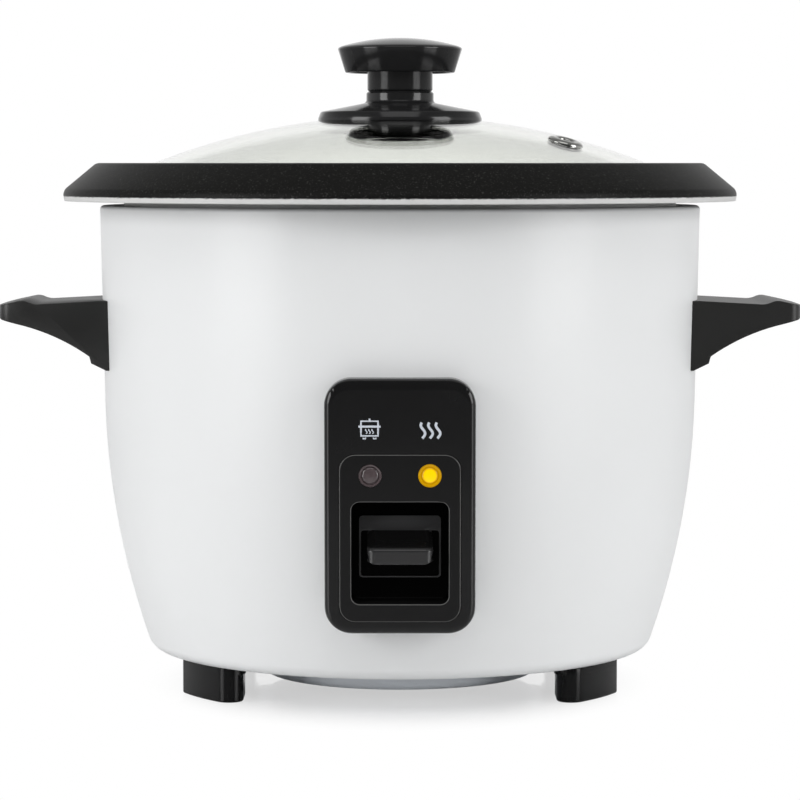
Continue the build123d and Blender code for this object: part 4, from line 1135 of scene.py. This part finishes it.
class COOKER_OT_stage(bpy.types.Operator):
    """Lay the floor, hang the soft lights and set the camera"""

    bl_idname = "cooker.stage"
    bl_label = "Stage"

    def execute(self, context):
        stage = context.scene.cooker_stage
        work_on(None)
        bpy.ops.mesh.primitive_grid_add(x_subdivisions=8, y_subdivisions=8, size=9.0, location=(0, 0, -0.0002))
        floor = added("floor")
        floor.data.materials.append(floor_finish())
        lights = (
            ("key_left", (-1.60, -1.00, 0.62), (0.9, 1.2), 22.0),
            ("key_right", (1.65, -0.90, 0.62), (0.9, 1.2), 20.0),
            ("top", (0.0, -1.2, 1.7), (1.6, 1.2), 8.5),
            ("rear", (0.0, 1.6, 0.95), (2.4, 1.9), 4.6),
        )
        aim = Vector((0.0, 0.0, 0.12))
        for name, place, size, power in lights:
            bpy.ops.object.light_add(type="AREA", location=place)
            lamp = active()
            lamp.name = name
            lamp.data.energy = power
            lamp.data.shape = "RECTANGLE"
            lamp.data.size, lamp.data.size_y = size
            lamp.visible_camera = False
            lamp.visible_transmission = name == "rear"
            lamp.rotation_euler = (aim - Vector(place)).to_track_quat("-Z", "Y").to_euler()
        light_world(stage.ambient)
        bpy.ops.object.camera_add(
            location=(0, -stage.distance, stage.eye), rotation=(pi / 2 - stage.pitch, 0, 0))
        camera = active()
        camera.name = "camera"
        camera.data.lens = stage.lens
        camera.data.sensor_width = 36.0
        camera.data.clip_end = 50.0
        context.scene.camera = camera
        context.scene.view_settings.view_transform = "Standard"
        return {"FINISHED"}


def floor_finish():
    """Polished white floor that keeps the object's shadow and a faint reflection, and fades to white behind."""
    finish = Finish("floor_white", WHITE, 0.0, IOR=2.3)
    away = finish.vector("LENGTH", finish.vector("MULTIPLY", finish.place, (1.25, 1.0, 1.0)))
    finish.set("Base Color", finish.ease(away, (0.35, 0.75), (0.88, 0.30)))
    white = finish.ease(away, (0.075, 0.130), (0.55, 1.0))
    share = finish.product(finish.node("LightPath").outputs["Is Camera Ray"], white)
    finish.blend(share, finish.shader, finish.node("Emission", WHITE), "Material Output")
    return finish.material


def light_world(strength):
    """A pale studio that is darker towards its front and that the camera sees as white.

    Rays through the glass see it at full strength, and glossy rays see it weaker than others do."""
    world = bpy.data.worlds.new("studio")
    bpy.context.scene.world = world
    graph = Graph(world)
    place = graph.node("SeparateXYZ", graph.node("TexCoord").outputs["Generated"]).outputs
    path = graph.node("LightPath").outputs
    through = path["Is Transmission Ray"]
    depth = graph.ease(place["Y"], (-0.90, 0.05), (0.12, 1.0))
    height = graph.math("MAXIMUM", graph.ease(place["Z"], (0.05, 0.60), (1.0, 0.40)), through)
    balance = graph.math("SUBTRACT", through, path["Is Glossy Ray"])
    level = graph.ease(balance, (-1.0, 1.0), (2 * strength - 1.0, 1.0))
    soft = graph.tree.nodes["Background"]
    graph.feed(soft.inputs["Color"], WHITE)
    graph.feed(soft.inputs["Strength"], graph.product(graph.product(depth, height), level))
    graph.blend(path["Is Camera Ray"], soft, graph.node("Background", WHITE, 1.0), "World Output")


class COOKER_PT_panel(bpy.types.Panel):
    """Rice cooker tools in the sidebar"""

    bl_idname = "COOKER_PT_panel"
    bl_label = "Rice Cooker"
    bl_space_type = "VIEW_3D"
    bl_region_type = "UI"
    bl_category = "Rice Cooker"

    def draw(self, context):
        for name in GROUPS:
            group, box = getattr(context.scene, name), self.layout.box()
            for key in group.__annotations__:
                box.prop(group, key)
        for operator in OPERATORS:
            self.layout.operator(operator.bl_idname)


OPERATORS = (
    COOKER_OT_inner_parts,
    COOKER_OT_drum,
    COOKER_OT_pot,
    COOKER_OT_lid,
    COOKER_OT_knob,
    COOKER_OT_panel,
    COOKER_OT_insert,
    COOKER_OT_lamps,
    COOKER_OT_pictograms,
    COOKER_OT_paddle,
    COOKER_OT_handles,
    COOKER_OT_feet,
    COOKER_OT_bottom,
    COOKER_OT_stage,
)
GROUPS = {"cooker_sizes": CookerSizes, "cooker_colours": CookerColours, "cooker_stage": CookerStage}
CLASSES = (*GROUPS.values(), *OPERATORS, COOKER_PT_panel)


def register():
    """Register the classes and hang the settings on the scene."""
    for cls in CLASSES:
        bpy.utils.register_class(cls)
    for name, group in GROUPS.items():
        setattr(bpy.types.Scene, name, PointerProperty(type=group))


def unregister():
    """Take the settings and the classes away again."""
    for name in GROUPS:
        delattr(bpy.types.Scene, name)
    for cls in reversed(CLASSES):
        bpy.utils.unregister_class(cls)


def main():
    register()
    for operator in OPERATORS:
        family, name = operator.bl_idname.split(".")
        getattr(getattr(bpy.ops, family), name)()


if __name__ == "__main__":
    main()
